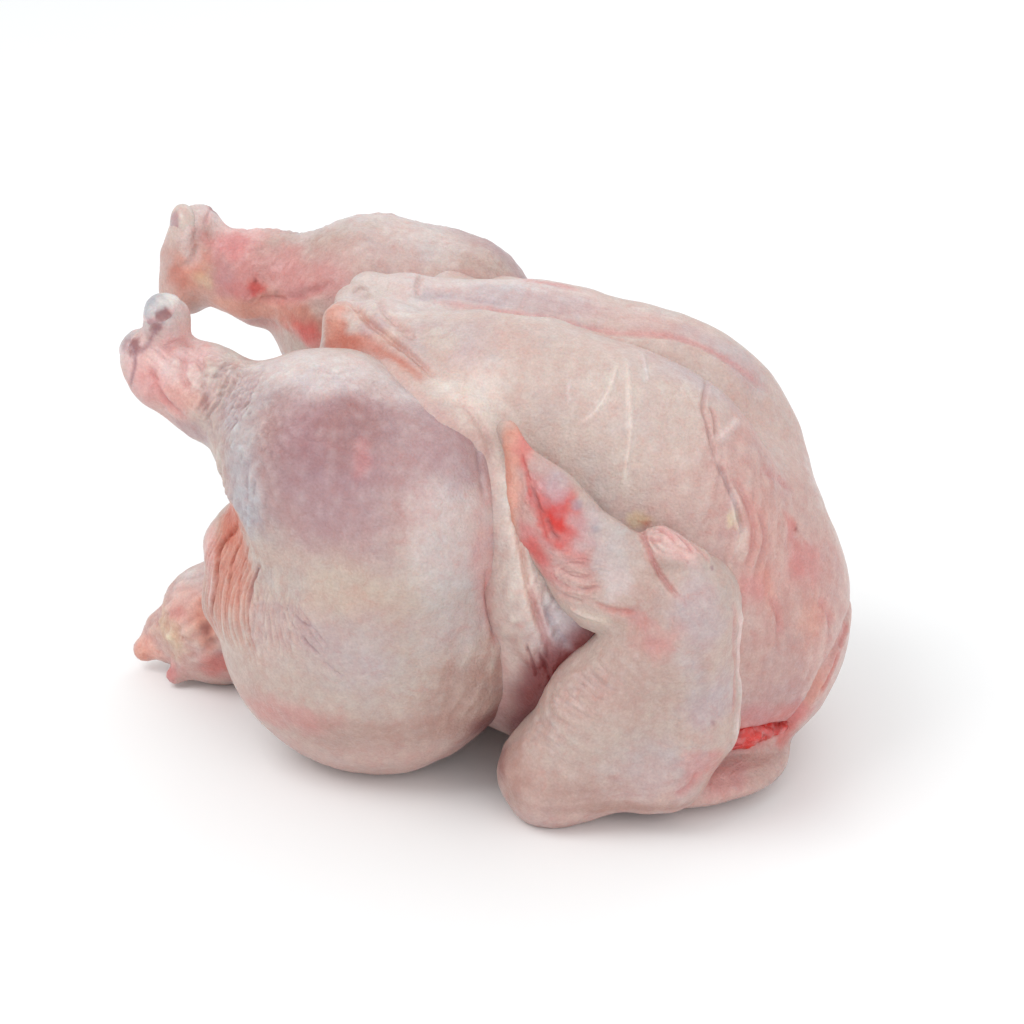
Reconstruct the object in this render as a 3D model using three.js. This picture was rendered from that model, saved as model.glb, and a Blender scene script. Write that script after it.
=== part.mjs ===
// Whole raw chicken, plucked and drawn, lying on its back.
//
// The bird is one closed solid in millimetres, +Z up.  +X runs from the tail to the neck,
// the left side of the bird faces -Y, and the origin is under the middle of the bird.
//
// The shape is described by a signed distance: negative inside the meat, positive outside,
// zero on the skin.  Ellipsoids, tapered limbs and one rounded triangular plate are blended
// with smooth unions, the body cavity is cut out with a smooth subtraction, and the flat
// z = 0 is what the bird lies on.  The skin is then traced on a grid of cubes, and its
// triangles are merged where the surface is nearly flat.

import * as THREE from "three";
import { edgeTable, triTable } from "three/addons/objects/MarchingCubes.js";

// ---------------------------------------------------------------- driving dimensions (mm)

const BODY_HALF_LENGTH = 105; // torso, rib cage side
const BODY_HALF_WIDTH = 56;
const BODY_HALF_DEPTH = 67;
const BREAST_RISE = 91; // height of the middle of each breast lobe
const LOBE_OFFSET = 21; // breast lobe to the keel, sideways
const LEG_OFFSET = 54; // drumstick axis to the keel, sideways
const THIGH_RADIUS = 34;
const DRUM_RADIUS = 32;
const WING_OFFSET = 65; // wrist to the keel, sideways
const WING_THICKNESS = 16; // radius of the folded forearm
const CAVITY_RADIUS = 25; // body cavity at its mouth, wider inside
const SKIN_FOLD = 5; // radius of a soft skin rim

const GRID = 3.1; // edge of one cube of the grid
const TRIANGLES = 10400; // of the finished solid
const MIDDLE = { x: -14.2, y: -0.2 }; // of the bounding box before it is centred

// ---------------------------------------------------------------- distance functions

const clamp01 = (t) => (t < 0 ? 0 : t > 1 ? 1 : t);

/** Smooth union of two distances, blended over about k millimetres. */
function join(a, b, k) {
  const h = clamp01(0.5 + (0.5 * (b - a)) / k);
  return b * (1 - h) + a * h - k * h * (1 - h);
}

/** Smooth subtraction: what is in a and not in b. */
const cut = (a, b, k) => -join(-a, b, k);

/** Ellipsoid about centre c with half axes r, nose pitched up and yawed by degrees. */
function egg(c, r, pitch = 0, yaw = 0) {
  const p = THREE.MathUtils.degToRad(pitch);
  const w = THREE.MathUtils.degToRad(yaw);
  const [cp, sp, cw, sw] = [Math.cos(p), Math.sin(p), Math.cos(w), Math.sin(w)];
  return (x, y, z) => {
    const [qx, qy, qz] = [x - c[0], y - c[1], z - c[2]];
    const u = (qx * cw * cp + qy * sw * cp + qz * sp) / r[0];
    const v = (-qx * sw + qy * cw) / r[1];
    const n = (-qx * cw * sp - qy * sw * sp + qz * cp) / r[2];
    const k0 = Math.sqrt(u * u + v * v + n * n);
    const k1 = Math.sqrt((u / r[0]) ** 2 + (v / r[1]) ** 2 + (n / r[2]) ** 2);
    return (k0 * (k0 - 1)) / Math.max(k1, 1e-6);
  };
}

/** Round limb from a to b whose radius eases from ra to rb; flat < 1 squeezes it along side. */
function limb(a, b, ra, rb, flat = 1, side = [0, 1, 0]) {
  const d = [b[0] - a[0], b[1] - a[1], b[2] - a[2]];
  const dd = d[0] * d[0] + d[1] * d[1] + d[2] * d[2];
  const sl = Math.hypot(...side);
  const [sx, sy, sz] = side.map((s) => s / sl);
  const scale = Math.sqrt(flat);
  return (x, y, z) => {
    const [px, py, pz] = [x - a[0], y - a[1], z - a[2]];
    const t = clamp01((px * d[0] + py * d[1] + pz * d[2]) / dd);
    const r = ra + (rb - ra) * t * t * (3 - 2 * t);
    const [qx, qy, qz] = [px - t * d[0], py - t * d[1], pz - t * d[2]];
    const d2 = qx * qx + qy * qy + qz * qz;
    const s = qx * sx + qy * sy + qz * sz;
    const across = Math.max(d2 - s * s, 0) + (s / flat) ** 2;
    return (Math.sqrt(across) - r) * scale;
  };
}

/** Several limbs end to end through points, blended over k. */
function chain(points, radii, k) {
  const parts = points.slice(1).map((p, i) => limb(points[i], p, radii[i], radii[i + 1]));
  return (x, y, z) => parts.reduce((d, part) => join(d, part(x, y, z), k), 1e3);
}

/** Triangular plate through a, b and c with rounded edges, thick on both sides. */
function plate(a, b, c, thick) {
  const [A, B, C] = [a, b, c].map((p) => new THREE.Vector3(...p));
  const edges = [[A, B], [B, C], [C, A]].map(([s, e]) => [s, e.clone().sub(s)]);
  const n = edges[0][1].clone().cross(A.clone().sub(C)).normalize();
  const walls = edges.map(([s, e]) => [s, e.clone().cross(n)]);
  return (x, y, z) => {
    let inside = true;
    for (const [s, w] of walls)
      if ((x - s.x) * w.x + (y - s.y) * w.y + (z - s.z) * w.z < 0) inside = false;
    if (inside)
      return Math.abs((x - A.x) * n.x + (y - A.y) * n.y + (z - A.z) * n.z) - thick;
    let best = Infinity;
    for (const [s, e] of edges) {
      const [px, py, pz] = [x - s.x, y - s.y, z - s.z];
      const t = clamp01((px * e.x + py * e.y + pz * e.z) / e.lengthSq());
      best = Math.min(best, (px - t * e.x) ** 2 + (py - t * e.y) ** 2 + (pz - t * e.z) ** 2);
    }
    return Math.sqrt(best) - thick;
  };
}

/** Joins a list of [distance function, blend] pairs in order. */
const blend = (list) => (x, y, z) =>
  list.reduce((d, [part, k]) => (d === null ? part(x, y, z) : join(d, part(x, y, z), k)), null);

// ---------------------------------------------------------------- parts of the bird

function torso() {
  const parts = [
    [egg([7, 0, BODY_HALF_DEPTH + 2], [BODY_HALF_LENGTH, BODY_HALF_WIDTH, BODY_HALF_DEPTH]), 0],
    [egg([8, 0, 83], [94, 28, 58], -5), 8], // keel
  ];
  for (const s of [-1, 1]) {
    const lobe = blend([
      [egg([4, s * LOBE_OFFSET, BREAST_RISE], [87, 36, 63], -3), 0],
      [egg([44, s * LOBE_OFFSET, BREAST_RISE - 5], [54, 34, 59], -14), 20],
    ]);
    parts.push([lobe, 3]);
    parts.push([limb([12, s * 19, 125], [-42, s * 14, 139], 28, 18), 9]); // breast tip
    parts.push([egg([34, s * 34, 62], [58, 31, 54]), 14]); // rib side
  }
  parts.push([egg([73, 2, 42], [45, 50, 44]), 24]); // crop and neck base
  parts.push([egg([67, -26, 9], [37, 38, 10], 0, -25), 5]); // neck skin on the table
  parts.push([limb([-60, 0, 50], [-110, 0, 28], 36, 20, 0.8, [0, 0, 1]), 22]); // rump
  return blend(parts);
}

const tail = blend([
  [limb([-94, 0, 28], [-132, 0, 16], 24, 10, 0.8), 0],
  [egg([-110, 0, 19], [22, 20, 20], 20), 8],
  [limb([-100, 0, 35], [-119, 0, 34], 14, 10, 0.8), 7],
  [limb([-130, 1, 15], [-140, -1, 8], 8, 6), 4], // tip
  [limb([-120, -8, 9], [-127, -11, 5], 7, 5), 4], // nub below
]);

/** Thigh, drumstick, shank and the two knuckles of the ankle. */
function leg({ hip, knee, mid, calf, shin, shank, ankle, knuckles, thigh, fill }) {
  const upper = blend([
    [egg(thigh, [53, THIGH_RADIUS, 55]), 0],
    [limb(hip, knee, THIGH_RADIUS + 2, DRUM_RADIUS), 20],
  ]);
  const drum = blend([
    [limb(knee, mid, DRUM_RADIUS, DRUM_RADIUS + 1), 0],
    [limb(mid, shin, DRUM_RADIUS, shank), 8],
    [egg(calf, [28, 27, 29], -35), 10],
  ]);
  return blend([
    [upper, 0],
    [drum, 12],
    [egg(fill, [30, 30, 34], -35), 20],
    [limb(shin, ankle, shank, 14, 0.9), 5],
    [egg(knuckles[0], [9, 12, 9.5], -35), 3],
    [egg(knuckles[1], [9, 12, 9.5], -35), 3],
  ]);
}

/** Folded wing: upper arm, forearm, the skin between them, the pointed hand and the thumb. */
function wing(s, { shoulder, sag, elbow, bend, wrist, palm, finger, tip }) {
  const thick = WING_THICKNESS;
  const thumbRoot = [wrist[0] - 9, wrist[1] + s * 4, wrist[2] + 21];
  const thumbTip = [wrist[0] + 3, wrist[1] + s * 3, wrist[2] + 16];
  const blade = blend([
    [limb(palm, finger, 20, 14, 0.38, [0.3, 1, 0.1 * s]), 0],
    [limb(finger, tip, 14, 4, 0.45, [0.3, 1, 0.1 * s]), 6],
    [limb(wrist, palm, 12, 14, 0.5), 6],
  ]);
  return blend([
    [chain([shoulder, sag, elbow], [thick - 1, thick - 1, thick], 8), 0],
    [chain([elbow, bend, wrist], [thick, thick, thick - 2], 8), 10],
    [plate(shoulder, elbow, wrist, 14), 8],
    [limb(shoulder, wrist, 13, 14), 8],
    [blade, 1.5],
    [limb(thumbRoot, thumbTip, 6, 5), 3],
  ]);
}

const leftLeg = leg({
  hip: [-45, -38, 45],
  knee: [-20, -LEG_OFFSET - 4, 104],
  mid: [-50, -LEG_OFFSET, 119],
  calf: [-50, -LEG_OFFSET, 104],
  shin: [-88, -LEG_OFFSET + 2, 133.5],
  shank: 15,
  ankle: [-105, -LEG_OFFSET + 2, 140],
  knuckles: [[-103, -LEG_OFFSET + 1, 158], [-113, -LEG_OFFSET + 3, 145]],
  thigh: [-36, -LEG_OFFSET + 4, 56],
  fill: [-28, -LEG_OFFSET, 82],
});

const rightLeg = leg({
  hip: [-52, 38, 50],
  knee: [-41, LEG_OFFSET + 4, 123],
  mid: [-66, LEG_OFFSET + 2, 128.5],
  calf: [-70, LEG_OFFSET, 117],
  shin: [-108, LEG_OFFSET, 137.5],
  shank: 17,
  ankle: [-134, LEG_OFFSET, 141],
  knuckles: [[-134, LEG_OFFSET, 153], [-139, LEG_OFFSET, 130]],
  thigh: [-44, LEG_OFFSET - 4, 56],
  fill: [-42, LEG_OFFSET + 1, 92],
});

const leftWing = wing(-1, {
  shoulder: [76, -WING_OFFSET + 8, 38],
  sag: [67, -WING_OFFSET + 5, 21],
  elbow: [32, -WING_OFFSET - 1, 16],
  bend: [48, -WING_OFFSET - 2, 45],
  wrist: [76, -WING_OFFSET, 84],
  palm: [49, -WING_OFFSET - 4, 92],
  finger: [30, -WING_OFFSET - 2, 110],
  tip: [15.5, -WING_OFFSET + 2, 136],
});

const rightWing = wing(1, {
  shoulder: [76, WING_OFFSET - 15, 34],
  sag: [62, WING_OFFSET - 3, 21],
  elbow: [30, WING_OFFSET + 6, 16],
  bend: [48, WING_OFFSET + 3, 46],
  wrist: [74, WING_OFFSET - 5, 84],
  palm: [44, WING_OFFSET - 2, 91],
  finger: [24, WING_OFFSET - 4, 112],
  tip: [6, WING_OFFSET - 8, 142],
});

/** Skin that runs from the knee on side s down to the wing, moved by dx and dz. */
const kneeWeb = (s, dx, dz) =>
  chain(
    [[-30, 42, 138], [-10, 52, 128], [6, 58, 106], [18, 58, 76]].map(([x, y, z]) => [x + dx, s * y, z + dz]),
    [8, 10, 11, 12],
    10,
  );

/** Loose skin between the thigh and the tail on side s, moved by dx and dz. */
const flap = (s, dx, dz) =>
  chain(
    [[-67, 52, 98], [-80, 50, 78], [-83, 46, 56], [-77, 36, 36]].map(([x, y, z]) => [x + dx, s * y, z + dz]),
    [12, 12, 12, 12],
    10,
  );

/** Half of the soft rim of the cavity on side s. */
const rim = (s) =>
  chain(
    [[-57, 0, 151], [-56, 16 * s, 150], [-58, 28 * s, 126], [-80, 31 * s, 92], [-95, 22 * s, 62], [-98, 8 * s, 50]],
    [SKIN_FOLD, SKIN_FOLD, SKIN_FOLD, SKIN_FOLD + 1, SKIN_FOLD + 1, SKIN_FOLD + 1],
    5,
  );

const cavity = blend([
  [limb([-120, 0, 106], [20, 0, 66], CAVITY_RADIUS, CAVITY_RADIUS + 7), 0],
  [limb([-120, 0, 84], [-40, 0, 68], 18, 20), 12],
]);

// Groove between the breast and the loose skin of the neck, from the left wing round the front.
const neckFold = chain(
  [
    [78, -52, 27], [87, -47, 26], [93, -42, 25], [98, -36, 24], [104, -27, 22], [109, -26, 30], [113, -23, 39],
    [117, -15, 47], [119, -4, 53], [119, 10, 56], [116, 24, 54], [109, 37, 46], [98, 46, 34],
  ],
  [3.5, 3.5, 3.5, 3.5, 3.5, 3, 2.5, 2.5, 2.5, 2.5, 2.5, 2.5, 2.5],
  1,
);

const meat = blend([
  [torso(), 0],
  [tail, 8],
  [kneeWeb(-1, 0, 0), 12],
  [kneeWeb(1, -4, 5), 12],
  [leftLeg, 3],
  [rightLeg, 3],
  [flap(-1, 0, 0), 5],
  [flap(1, -8, 4), 5],
]);
const rims = [rim(-1), rim(1)];

/** Signed distance of the whole bird, cut flat at the table. */
function bird(x, y, z) {
  let d = cut(meat(x, y, z), cavity(x, y, z), 5);
  const fold = join(rims[0](x, y, z), rims[1](x, y, z), 4);
  d = join(d, fold, 5);
  d = cut(d, neckFold(x, y, z), 2.5);
  d = join(d, leftWing(x, y, z), 2.5);
  d = join(d, rightWing(x, y, z), 2.5);
  return Math.max(d, -z);
}

// ---------------------------------------------------------------- skin traced on a grid

/** Triangles of the surface f = 0 inside a box, as shared vertices and their indices. */
function trace(f, lo, hi, step) {
  const [nx, ny, nz] = lo.map((l, i) => Math.ceil((hi[i] - l) / step) + 1);
  const at = (i, j, k) => i + nx * (j + ny * k);
  const field = new Float64Array(nx * ny * nz);
  for (let k = 0; k < nz; k++)
    for (let j = 0; j < ny; j++)
      for (let i = 0; i < nx; i++)
        field[at(i, j, k)] = f(lo[0] + i * step, lo[1] + j * step, lo[2] + k * step);
  const corner = [[0, 0, 0], [1, 0, 0], [1, 1, 0], [0, 1, 0], [0, 0, 1], [1, 0, 1], [1, 1, 1], [0, 1, 1]];
  const edge = [[0, 1], [1, 2], [3, 2], [0, 3], [4, 5], [5, 6], [7, 6], [4, 7], [0, 4], [1, 5], [2, 6], [3, 7]];
  const vertices = [];
  const triangles = [];
  const seen = new Map();
  for (let k = 0; k < nz - 1; k++)
    for (let j = 0; j < ny - 1; j++)
      for (let i = 0; i < nx - 1; i++) {
        const value = corner.map(([a, b, c]) => field[at(i + a, j + b, k + c)]);
        const kind = value.reduce((bits, v, n) => bits | (v < 0 ? 1 << n : 0), 0);
        if (!edgeTable[kind]) continue;
        const ids = edge.map(([p, q], n) => {
          if (!(edgeTable[kind] & (1 << n))) return -1;
          const [a, b, c] = corner[p];
          const along = corner[q][0] > a ? 0 : corner[q][1] > b ? 1 : 2;
          const key = at(i + a, j + b, k + c) * 3 + along;
          if (seen.has(key)) return seen.get(key);
          const t = Math.min(Math.max(value[p] / (value[p] - value[q]), 0.02), 0.98);
          const spot = [lo[0] + (i + a) * step, lo[1] + (j + b) * step, lo[2] + (k + c) * step];
          spot[along] += t * step;
          vertices.push(spot);
          seen.set(key, vertices.length - 1);
          return vertices.length - 1;
        });
        for (let n = kind * 16; triTable[n] >= 0; n += 3)
          triangles.push([ids[triTable[n]], ids[triTable[n + 1]], ids[triTable[n + 2]]]);
      }
  return { vertices, triangles };
}

/** Slope of f at p. */
function slope(f, [x, y, z]) {
  const e = 0.2;
  return [
    (f(x + e, y, z) - f(x - e, y, z)) / (2 * e),
    (f(x, y + e, z) - f(x, y - e, z)) / (2 * e),
    (f(x, y, z + e) - f(x, y, z - e)) / (2 * e),
  ];
}

/** Moves each vertex onto f = 0 along the slope of f, by at most reach a round. */
function settle(vertices, f, rounds, reach) {
  for (const p of vertices)
    for (let n = 0; n < rounds; n++) {
      const d = f(...p);
      const g = slope(f, p);
      const gg = Math.max(g[0] ** 2 + g[1] ** 2 + g[2] ** 2, 0.2);
      for (let a = 0; a < 3; a++) p[a] -= Math.max(-reach, Math.min(reach, (d * g[a]) / gg));
    }
}

// ---------------------------------------------------------------- merging of triangles

const sub = (a, b) => [a[0] - b[0], a[1] - b[1], a[2] - b[2]];
const dot = (a, b) => a[0] * b[0] + a[1] * b[1] + a[2] * b[2];
const cross = (a, b) => [a[1] * b[2] - a[2] * b[1], a[2] * b[0] - a[0] * b[2], a[0] * b[1] - a[1] * b[0]];

/** Collapses the edges that change the shape least until the mesh has the wanted triangles. */
function simplify({ vertices, triangles }, f, wanted) {
  const unit = (v) => v.map((c) => c / Math.max(Math.hypot(...v), 1e-9));
  const normals = vertices.map((p) => unit(slope(f, p)));
  const fans = vertices.map(() => new Set());
  const stamp = new Int32Array(vertices.length);
  const planes = vertices.map(() => new Float64Array(10));
  const alive = triangles.map(() => true);
  triangles.forEach((t, id) => {
    const [a, b, c] = t.map((v) => vertices[v]);
    const n = cross(sub(b, a), sub(c, a));
    const size = Math.hypot(...n);
    const [x, y, z] = n.map((v) => v / Math.max(size, 1e-9));
    const w = -dot([x, y, z], a);
    const q = [x * x, x * y, x * z, x * w, y * y, y * z, y * w, z * z, z * w, w * w];
    for (const v of t) {
      fans[v].add(id);
      for (let i = 0; i < 10; i++) planes[v][i] += (q[i] * size) / 6;
    }
  });
  const error = (q, [x, y, z]) =>
    q[0] * x * x + 2 * q[1] * x * y + 2 * q[2] * x * z + 2 * q[3] * x + q[4] * y * y +
    2 * q[5] * y * z + 2 * q[6] * y + q[7] * z * z + 2 * q[8] * z + q[9];
  const plan = (a, b) => {
    const q = planes[a].map((v, i) => v + planes[b][i]);
    const [pa, pb] = [vertices[a], vertices[b]];
    const length = Math.hypot(...sub(pa, pb));
    const spots = [pa, pb, [0, 1, 2].map((i) => (pa[i] + pb[i]) / 2)];
    const m = new THREE.Matrix3().set(q[0], q[1], q[2], q[1], q[4], q[5], q[2], q[5], q[7]);
    if (Math.abs(m.determinant()) > 1e-4 * (q[0] + q[4] + q[7]) ** 3) {
      const best = new THREE.Vector3(-q[3], -q[6], -q[8]).applyMatrix3(m.invert()).toArray();
      if (Math.hypot(...sub(best, spots[2])) < length) spots.push(best);
    }
    const ranked = spots.map((spot) => ({ spot, cost: Math.max(error(q, spot), 0) + 1e-3 * length ** 3 }));
    ranked.sort((u, v) => u.cost - v.cost);
    return { cost: ranked[0].cost, spots: ranked.map((r) => r.spot), length, a, b, sa: stamp[a], sb: stamp[b] };
  };
  const heap = [];
  const push = (item) => {
    let i = heap.push(item) - 1;
    while (i > 0 && heap[(i - 1) >> 1].cost > item.cost) {
      heap[i] = heap[(i - 1) >> 1];
      i = (i - 1) >> 1;
    }
    heap[i] = item;
  };
  const pop = () => {
    const top = heap[0];
    const last = heap.pop();
    if (heap.length) {
      let i = 0;
      for (;;) {
        let c = 2 * i + 1;
        if (c >= heap.length) break;
        if (c + 1 < heap.length && heap[c + 1].cost < heap[c].cost) c++;
        if (heap[c].cost >= last.cost) break;
        heap[i] = heap[c];
        i = c;
      }
      heap[i] = last;
    }
    return top;
  };
  const around = (v) => new Set([...fans[v]].flatMap((id) => triangles[id].filter((w) => w !== v)));
  const shape = (corners) => {
    const n = cross(sub(corners[2], corners[0]), sub(corners[1], corners[0]));
    const area = Math.hypot(...n);
    const longest = Math.max(...[0, 1, 2].map((i) => Math.hypot(...sub(corners[i], corners[(i + 1) % 3]))));
    return { n, area, roundness: area / Math.max(longest * longest, 1e-9) };
  };
  const keepsShape = (v, other, spot, tiny) => {
    for (const id of fans[v]) {
      if (triangles[id].includes(other)) continue;
      const old = shape(triangles[id].map((w) => vertices[w]));
      const now = shape(triangles[id].map((w) => (w === v ? spot : vertices[w])));
      const out = triangles[id].reduce((n, w) => n.map((c, i) => c + normals[w][i] / 3), [0, 0, 0]);
      if (dot(now.n, out) < 0.35 * now.area) return false;
      if (!tiny && old.roundness > 0.1 && dot(old.n, now.n) < 0.6 * old.area * now.area) return false;
      if (!tiny && now.roundness < 0.14 && now.roundness < old.roundness) return false;
    }
    return true;
  };
  triangles.forEach(([a, b, c]) =>
    [[a, b], [b, c], [c, a]].forEach(([u, v]) => {
      if (u < v) push(plan(u, v));
    }),
  );
  let left = triangles.length;
  while (left > wanted && heap.length) {
    const { a, b, spots, length, sa, sb } = pop();
    if (stamp[a] !== sa || stamp[b] !== sb) continue;
    const near = around(b);
    const shared = [...around(a)].filter((v) => near.has(v));
    if (shared.length !== 2) continue;
    const tiny = length < 0.9;
    const spot = spots.find((p) => keepsShape(a, b, p, tiny) && keepsShape(b, a, p, tiny));
    if (!spot) continue;
    vertices[a] = spot;
    normals[a] = unit(slope(f, spot));
    for (let i = 0; i < 10; i++) planes[a][i] += planes[b][i];
    for (const id of [...fans[b]]) {
      const t = triangles[id];
      if (t.includes(a)) {
        alive[id] = false;
        left--;
        for (const v of t) fans[v].delete(id);
      } else {
        t[t.indexOf(b)] = a;
        fans[a].add(id);
      }
    }
    stamp[b] = -1;
    stamp[a]++;
    for (const v of around(a)) push(plan(Math.min(a, v), Math.max(a, v)));
  }
  const used = new Map();
  const kept = triangles.filter((_, id) => alive[id]);
  const points = [];
  const index = kept.map((t) =>
    t.map((v) => {
      if (!used.has(v)) {
        used.set(v, points.length);
        points.push(vertices[v]);
      }
      return used.get(v);
    }),
  );
  return { vertices: points, triangles: index };
}

// ---------------------------------------------------------------- the solid

const rough = trace(bird, [-156, -98, -4.4], [136, 98, 178], GRID);
settle(rough.vertices, bird, 1, 0.4);
const skin = simplify(rough, bird, TRIANGLES);
for (const p of skin.vertices) if (p[2] < 0.35) p[2] = 0;

const positions = new Float32Array(skin.vertices.flatMap(([x, y, z]) => [x - MIDDLE.x, y - MIDDLE.y, z]));
const geometry = new THREE.BufferGeometry();
geometry.setAttribute("position", new THREE.BufferAttribute(positions, 3));
geometry.setIndex(skin.triangles.flatMap(([a, b, c]) => [a, c, b]));
geometry.computeVertexNormals();

const material = new THREE.MeshStandardMaterial({ color: 0xe6c6bd, roughness: 0.42, metalness: 0 });
const chicken = new THREE.Mesh(geometry, material);
chicken.name = "whole_raw_chicken";

const group = new THREE.Group();
group.name = "raw_chicken";
group.add(chicken);

export default group;
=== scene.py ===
# %% [markdown]
# # A whole raw chicken
# A plucked and drawn bird lies on its back.  Nearly everything that is seen is one thin skin
# drawn over muscle, fat and bone, so the skin is made first, as smooth surfaces, and the folds,
# pores and colours are laid on it afterwards.  Lengths below are in millimetres in the bird's
# own frame (x from tail to neck, its left side towards -y, z up); they turn into metres only
# when a mesh is made.

import math

import bpy
import numpy as np
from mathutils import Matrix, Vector


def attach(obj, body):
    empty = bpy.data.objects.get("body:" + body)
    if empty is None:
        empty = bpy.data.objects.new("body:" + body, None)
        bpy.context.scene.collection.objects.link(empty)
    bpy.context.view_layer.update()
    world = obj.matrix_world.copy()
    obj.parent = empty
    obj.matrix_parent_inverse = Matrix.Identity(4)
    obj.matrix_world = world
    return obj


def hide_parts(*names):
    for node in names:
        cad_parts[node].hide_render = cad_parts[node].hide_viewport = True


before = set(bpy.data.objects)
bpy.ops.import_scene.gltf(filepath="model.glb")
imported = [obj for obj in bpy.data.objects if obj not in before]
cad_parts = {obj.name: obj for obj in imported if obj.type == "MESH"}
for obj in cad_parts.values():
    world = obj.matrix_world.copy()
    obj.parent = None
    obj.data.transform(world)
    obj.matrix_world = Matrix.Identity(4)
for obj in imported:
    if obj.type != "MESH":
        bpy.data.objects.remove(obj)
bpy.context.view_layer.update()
MIDDLE = np.array([-14.2, -0.2, 0.0])  # the frame's origin in the bird's own millimetres
NODE = "whole_raw_chicken"
F = np.float32

# %% [markdown]
# ## Camera, light and floor
# A long lens from a little above shows the bird without much perspective.  Meat looks best in
# broad, soft light, so one large lamp stands up and to the left, a weaker one fills from the
# right, and a pale world lights the shadows.

# %% Camera
AZIMUTH, ELEVATION, DISTANCE, LENS = 15.0, 24.0, 1000.0, 100.9
SENSOR = 36.0  # width of the camera's sensor
PICTURE = 1024.0  # width of the picture in dots
TARGET = np.array([0.0, 0.0, 79.0])
turn, rise = math.radians(AZIMUTH), math.radians(ELEVATION)
BACK = np.array([math.sin(turn) * math.cos(rise), -math.cos(turn) * math.cos(rise), math.sin(rise)])
RIGHT = np.array([math.cos(turn), math.sin(turn), 0.0])
UP = np.cross(BACK, RIGHT)
EYE = TARGET + BACK * DISTANCE


def metres(points):
    """Bird millimetres to frame metres: (p - MIDDLE) / 1000."""
    return (np.asarray(points, float) - MIDDLE) / 1000.0


lens = bpy.data.cameras.new("camera")
lens.lens = LENS
lens.sensor_width = SENSOR
lens.clip_end = 20.0
camera = bpy.data.objects.new("camera", lens)
camera.location = metres(EYE)
camera.rotation_euler = Vector(BACK).to_track_quat("Z", "Y").to_euler()
bpy.context.collection.objects.link(camera)
bpy.context.scene.camera = camera
print("camera stands at", [round(v, 3) for v in camera.location])


# %% Lights
def lamp(name, place, size, power, colour=(1.0, 1.0, 1.0)):
    """A square lamp at place, in metres, that faces the bird."""
    data = bpy.data.lights.new(name, "AREA")
    data.size = size
    data.energy = power
    data.color = colour
    light = bpy.data.objects.new(name, data)
    light.location = place
    light.rotation_euler = (Vector(place) - Vector(metres(TARGET))).to_track_quat("Z", "Y").to_euler()
    bpy.context.collection.objects.link(light)


lamp("key", (-0.7, -0.6, 1.4), 0.9, 9.0)
lamp("fill", (0.9, -1.1, 0.6), 1.2, 5.0)
lamp("back", (0.2, 1.2, 1.1), 1.1, 3.0)
world = bpy.data.worlds.new("studio")
world.use_nodes = True
world.node_tree.nodes["Background"].inputs["Color"].default_value = (1.0, 1.0, 1.0, 1.0)
world.node_tree.nodes["Background"].inputs["Strength"].default_value = 0.85
bpy.context.scene.world = world
bpy.context.scene.view_settings.view_transform = "Standard"

# %% Floor
HALF_FLOOR = 4.0  # metres
floor_mesh = bpy.data.meshes.new("floor")
corners = [(HALF_FLOOR * i, HALF_FLOOR * j, 0.0) for i, j in ((-1, -1), (1, -1), (1, 1), (-1, 1))]
floor_mesh.from_pydata(corners, [], [(0, 1, 2, 3)])
floor = bpy.data.objects.new("floor", floor_mesh)
bpy.context.collection.objects.link(floor)
floor_paint = bpy.data.materials.new("floor_paint")
floor_paint.use_nodes = True
floor_shader = floor_paint.node_tree.nodes["Principled BSDF"]
floor_shader.inputs["Base Color"].default_value = (0.925, 0.94, 0.945, 1.0)
floor_shader.inputs["Roughness"].default_value = 0.6
floor_mesh.materials.append(floor_paint)
print("floor:", 2 * HALF_FLOOR, "m square")

# %% [markdown]
# ## A shape as a signed distance
# A drumstick, a breast lobe and a wing have no sharp borders: each runs softly into the next.
# Such a body is easy to say as a distance.  Every function below takes an array of points and
# gives, for all of them at once, how far each is outside (positive) or inside (negative) a form.
# The smaller of two distances joins two forms, and a smooth minimum joins them with a fillet.


# %% Distance functions
def vec(*v):
    """The numbers as one short array in single precision."""
    return np.array(v, F)


def join(a, b, k):
    """Smooth minimum: the nearer of a and b, rounded where they differ by less than k."""
    h = np.clip(0.5 + 0.5 * (b - a) / k, 0.0, 1.0)
    return b * (1.0 - h) + a * h - k * h * (1.0 - h)


def cut(a, b, k):
    """What is in a and not in b, with an edge rounded over k."""
    return -join(-a, b, k)


def egg(P, centre, radii, pitch=0.0, yaw=0.0):
    """Ellipsoid: |q/r| (|q/r| - 1) / |q/r^2|, with its nose pitched up and yawed by degrees."""
    p, w = math.radians(pitch), math.radians(yaw)
    cp, sp, cw, sw = math.cos(p), math.sin(p), math.cos(w), math.sin(w)
    turn = np.array([[cw * cp, -sw, -cw * sp], [sw * cp, cw, -sw * sp], [sp, 0.0, cp]], F)
    q = (P - vec(*centre)) @ turn
    r = vec(*radii)
    a = np.sqrt(((q / r) ** 2).sum(-1)) + 1e-6
    b = np.sqrt(((q / (r * r)) ** 2).sum(-1))
    return a * (a - 1.0) / np.maximum(b, 1e-6)


def limb(P, a, b, ra, rb, flat=1.0, side=(0.0, 1.0, 0.0)):
    """Round bar from a to b; its radius eases from ra to rb, and flat < 1 squeezes it along side."""
    a, b = vec(*a), vec(*b)
    d = b - a
    t = np.clip(((P - a) @ d) / (d @ d), 0.0, 1.0)
    r = ra + (rb - ra) * t * t * (3.0 - 2.0 * t)
    q = P - a - t[..., None] * d
    far = (q * q).sum(-1)
    if flat == 1.0:
        return np.sqrt(far) - r
    s = vec(*side)
    along = q @ (s / np.sqrt(s @ s))
    across = np.maximum(far - along * along, 0.0) + (along / flat) ** 2
    return (np.sqrt(across) - r) * F(flat**0.5)


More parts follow.
